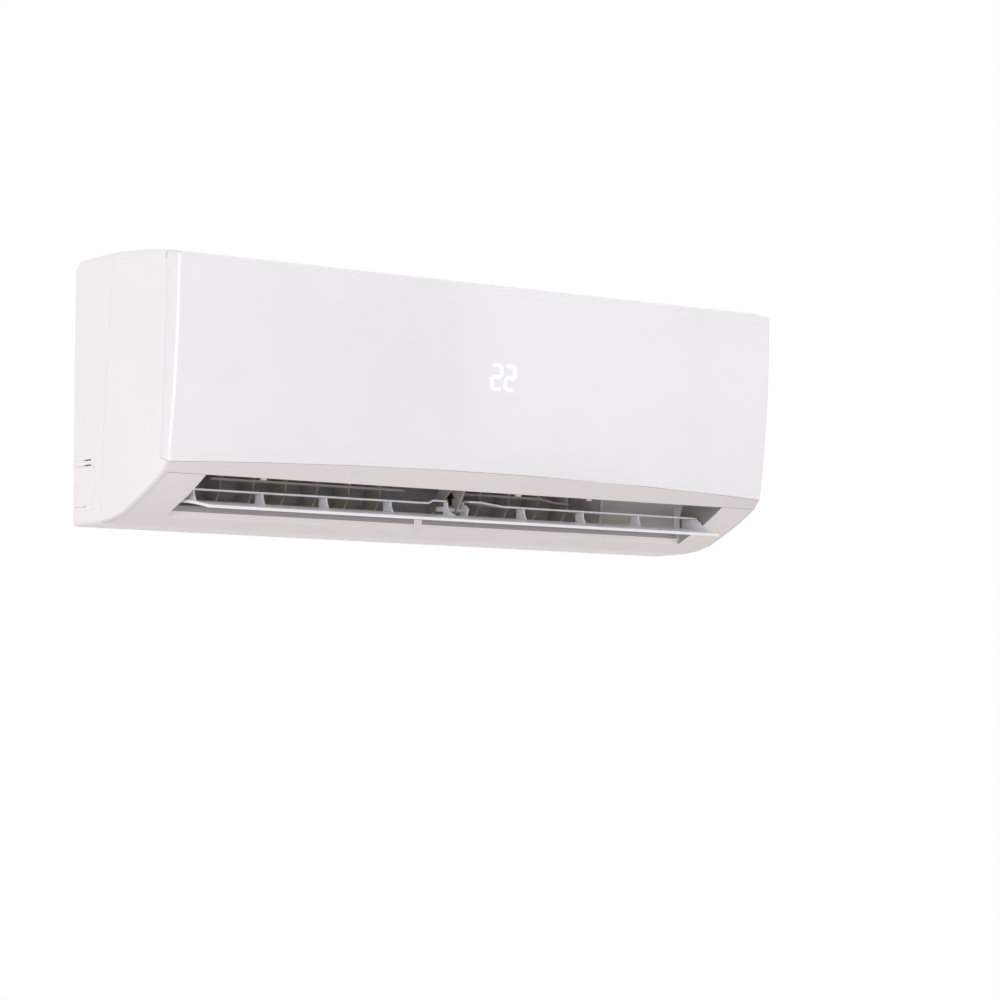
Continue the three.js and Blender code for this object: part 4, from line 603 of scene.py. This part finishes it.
def digit(name, centre_x):
    """A numeral 2 that stands just proud of the panel's face."""
    build = bmesh.new()
    width, height = DIGIT_SIZE
    corner = Vector((centre_x - width / 2, DIGIT_CENTRE[1] - height / 2))
    for ends in TWO_STROKES:
        start, end = (Vector((across * width, up * height / 2)) for across, up in ends)
        trim = (end - start).normalized() * DIGIT_TRIM
        ring = [corner + point for point in stroke(start + trim, end - trim, DIGIT_STROKE / 2)]
        swept(
            build,
            [
                [(x * MM, -(panel_face(z) + out) * MM, z * MM) for x, z in ring]
                for out in (-DIGIT_SINK, DIGIT_RISE)
            ],
        )
    piece = tidy_mesh(name, build)
    paint(piece, digit_light)
    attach(piece, "panel")


digit("digit_left", DIGIT_CENTRE[0] - DIGIT_PITCH / 2)
digit("digit_right", DIGIT_CENTRE[0] + DIGIT_PITCH / 2)


# A printed arrow on the left face of the bracket's right plate: corners by distance from the wall and height
ARROW_FACE = 4.5
ARROW_THICKNESS = 0.12
ARROW_OUTLINE = [
    (113.6, -88.9),
    (120.4, -96.8),
    (115.5, -96.4),
    (115.5, -104.3),
    (109.9, -104.0),
    (109.1, -95.8),
    (105.4, -95.2),
]


def arrow():
    """The arrow, half sunk into the plate."""
    build = bmesh.new()
    sides = (ARROW_FACE - ARROW_THICKNESS, ARROW_FACE + ARROW_THICKNESS)
    swept(build, [[(x * MM, -depth * MM, z * MM) for depth, z in ARROW_OUTLINE] for x in sides])
    piece = tidy_mesh("bracket_arrow", build)
    paint(piece, mark_dark)
    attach(piece, frame["nodes"]["louvre_bracket"]["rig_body"])


arrow()


# Stage, in metres: a pale floor far below, as under a unit on a wall
FLOOR_DROP = 2.0
FLOOR_RADIUS = 4.5
FLOOR_RINGS = 6
FLOOR_SIDES = 64


def floor():
    """A round floor of rings about its middle."""
    build = bmesh.new()
    turns = [2 * math.pi * i / FLOOR_SIDES for i in range(FLOOR_SIDES)]
    rows = []
    for ring in range(1, FLOOR_RINGS + 1):
        radius = FLOOR_RADIUS * ring / FLOOR_RINGS
        places = [(radius * math.cos(turn), radius * math.sin(turn), -FLOOR_DROP) for turn in turns]
        rows.append([build.verts.new(place) for place in places])
    middle = build.verts.new((0, 0, -FLOOR_DROP))
    for i in range(FLOOR_SIDES):
        build.faces.new((middle, rows[0][i], rows[0][(i + 1) % FLOOR_SIDES]))
    for inner, outer in zip(rows, rows[1:]):
        band(build, outer, inner)
    piece = tidy_mesh("floor", build)
    paint(piece, moulded("floor_pale", srgb(238, 231, 228), 0.7, mottle=0.01, grain=90.0))


floor()


# Lamps, in metres and watts
AIM = Vector((0.0, -0.12, 0.0))


def area_light(name, place, size, power, colour):
    """A rectangular lamp that is turned towards the unit."""
    data = bpy.data.lights.new(name, "AREA")
    data.shape = "RECTANGLE"
    data.size, data.size_y = size
    data.energy = power
    data.color = colour
    lamp = bpy.data.objects.new(name, data)
    bpy.context.scene.collection.objects.link(lamp)
    lamp.location = place
    lamp.rotation_euler = (AIM - Vector(place)).to_track_quat("-Z", "Y").to_euler()


area_light("key_light", (-1.9, -2.6, 1.7), size=(2.4, 1.8), power=10.0, colour=(1.0, 0.99, 0.985))
area_light("left_light", (-3.2, -1.3, 0.0), size=(1.6, 1.6), power=25.0, colour=(1.0, 0.99, 0.99))
area_light("low_light", (-1.7, -2.7, -0.75), size=(1.2, 0.7), power=10.2, colour=(1.0, 0.985, 0.98))
area_light("fill_light", (2.6, -2.2, 0.4), size=(2.0, 2.0), power=13.0, colour=(0.985, 0.99, 1.0))


# World
SKY_COLOUR = (0.985, 0.985, 1.0, 1.0)
SKY_STRENGTH = 0.67


def studio_world():
    """A soft sky that lights the unit. The camera, reflections and clear parts see plain white instead."""
    world = bpy.data.worlds.new("studio")
    bpy.context.scene.world = world
    world.use_nodes = True
    tree = world.node_tree
    tree.nodes.clear()

    def background(colour, strength):
        made = tree.nodes.new("ShaderNodeBackground")
        made.inputs["Color"].default_value = colour
        made.inputs["Strength"].default_value = strength
        return made.outputs["Background"]

    def either(first, second):
        made = tree.nodes.new("ShaderNodeMath")
        made.operation = "MAXIMUM"
        tree.links.new(first, made.inputs[0])
        tree.links.new(second, made.inputs[1])
        return made.outputs["Value"]

    rays = tree.nodes.new("ShaderNodeLightPath").outputs
    shown = either(either(rays["Is Camera Ray"], rays["Is Transmission Ray"]), rays["Is Glossy Ray"])
    mix = tree.nodes.new("ShaderNodeMixShader")
    output = tree.nodes.new("ShaderNodeOutputWorld")
    tree.links.new(shown, mix.inputs["Fac"])
    tree.links.new(background(SKY_COLOUR, SKY_STRENGTH), mix.inputs[1])
    tree.links.new(background(WHITE, 1.0), mix.inputs[2])
    tree.links.new(mix.outputs["Shader"], output.inputs["Surface"])


studio_world()


# Camera, solved from the straight edges and corners of the casing in the photograph
CAMERA_PLACE = Vector((-2.32442, -3.12789, -0.38094))
CAMERA_YAW = math.radians(38.4918)
CAMERA_PITCH = math.radians(4.2552)
CAMERA_ROLL = math.radians(0.1854)
CAMERA_LENS = 126.893
CAMERA_SENSOR = 36.0
CAMERA_REACH = (0.1, 60.0)


def camera_turn():
    """The camera's axes from its yaw, pitch and roll."""
    ahead = Vector(
        (
            math.sin(CAMERA_YAW) * math.cos(CAMERA_PITCH),
            math.cos(CAMERA_YAW) * math.cos(CAMERA_PITCH),
            math.sin(CAMERA_PITCH),
        )
    )
    level = Vector((math.cos(CAMERA_YAW), -math.sin(CAMERA_YAW), 0))
    above = level.cross(ahead)
    right = level * math.cos(CAMERA_ROLL) + above * math.sin(CAMERA_ROLL)
    up = above * math.cos(CAMERA_ROLL) - level * math.sin(CAMERA_ROLL)
    return Matrix((right, up, -ahead)).transposed().to_4x4()


lens = bpy.data.cameras.new("camera")
lens.sensor_width = CAMERA_SENSOR
lens.lens = CAMERA_LENS
lens.clip_start, lens.clip_end = CAMERA_REACH
camera = bpy.data.objects.new("camera", lens)
bpy.context.scene.collection.objects.link(camera)
camera.matrix_world = Matrix.Translation(CAMERA_PLACE) @ camera_turn()
bpy.context.scene.camera = camera
bpy.context.scene.view_settings.view_transform = "Standard"
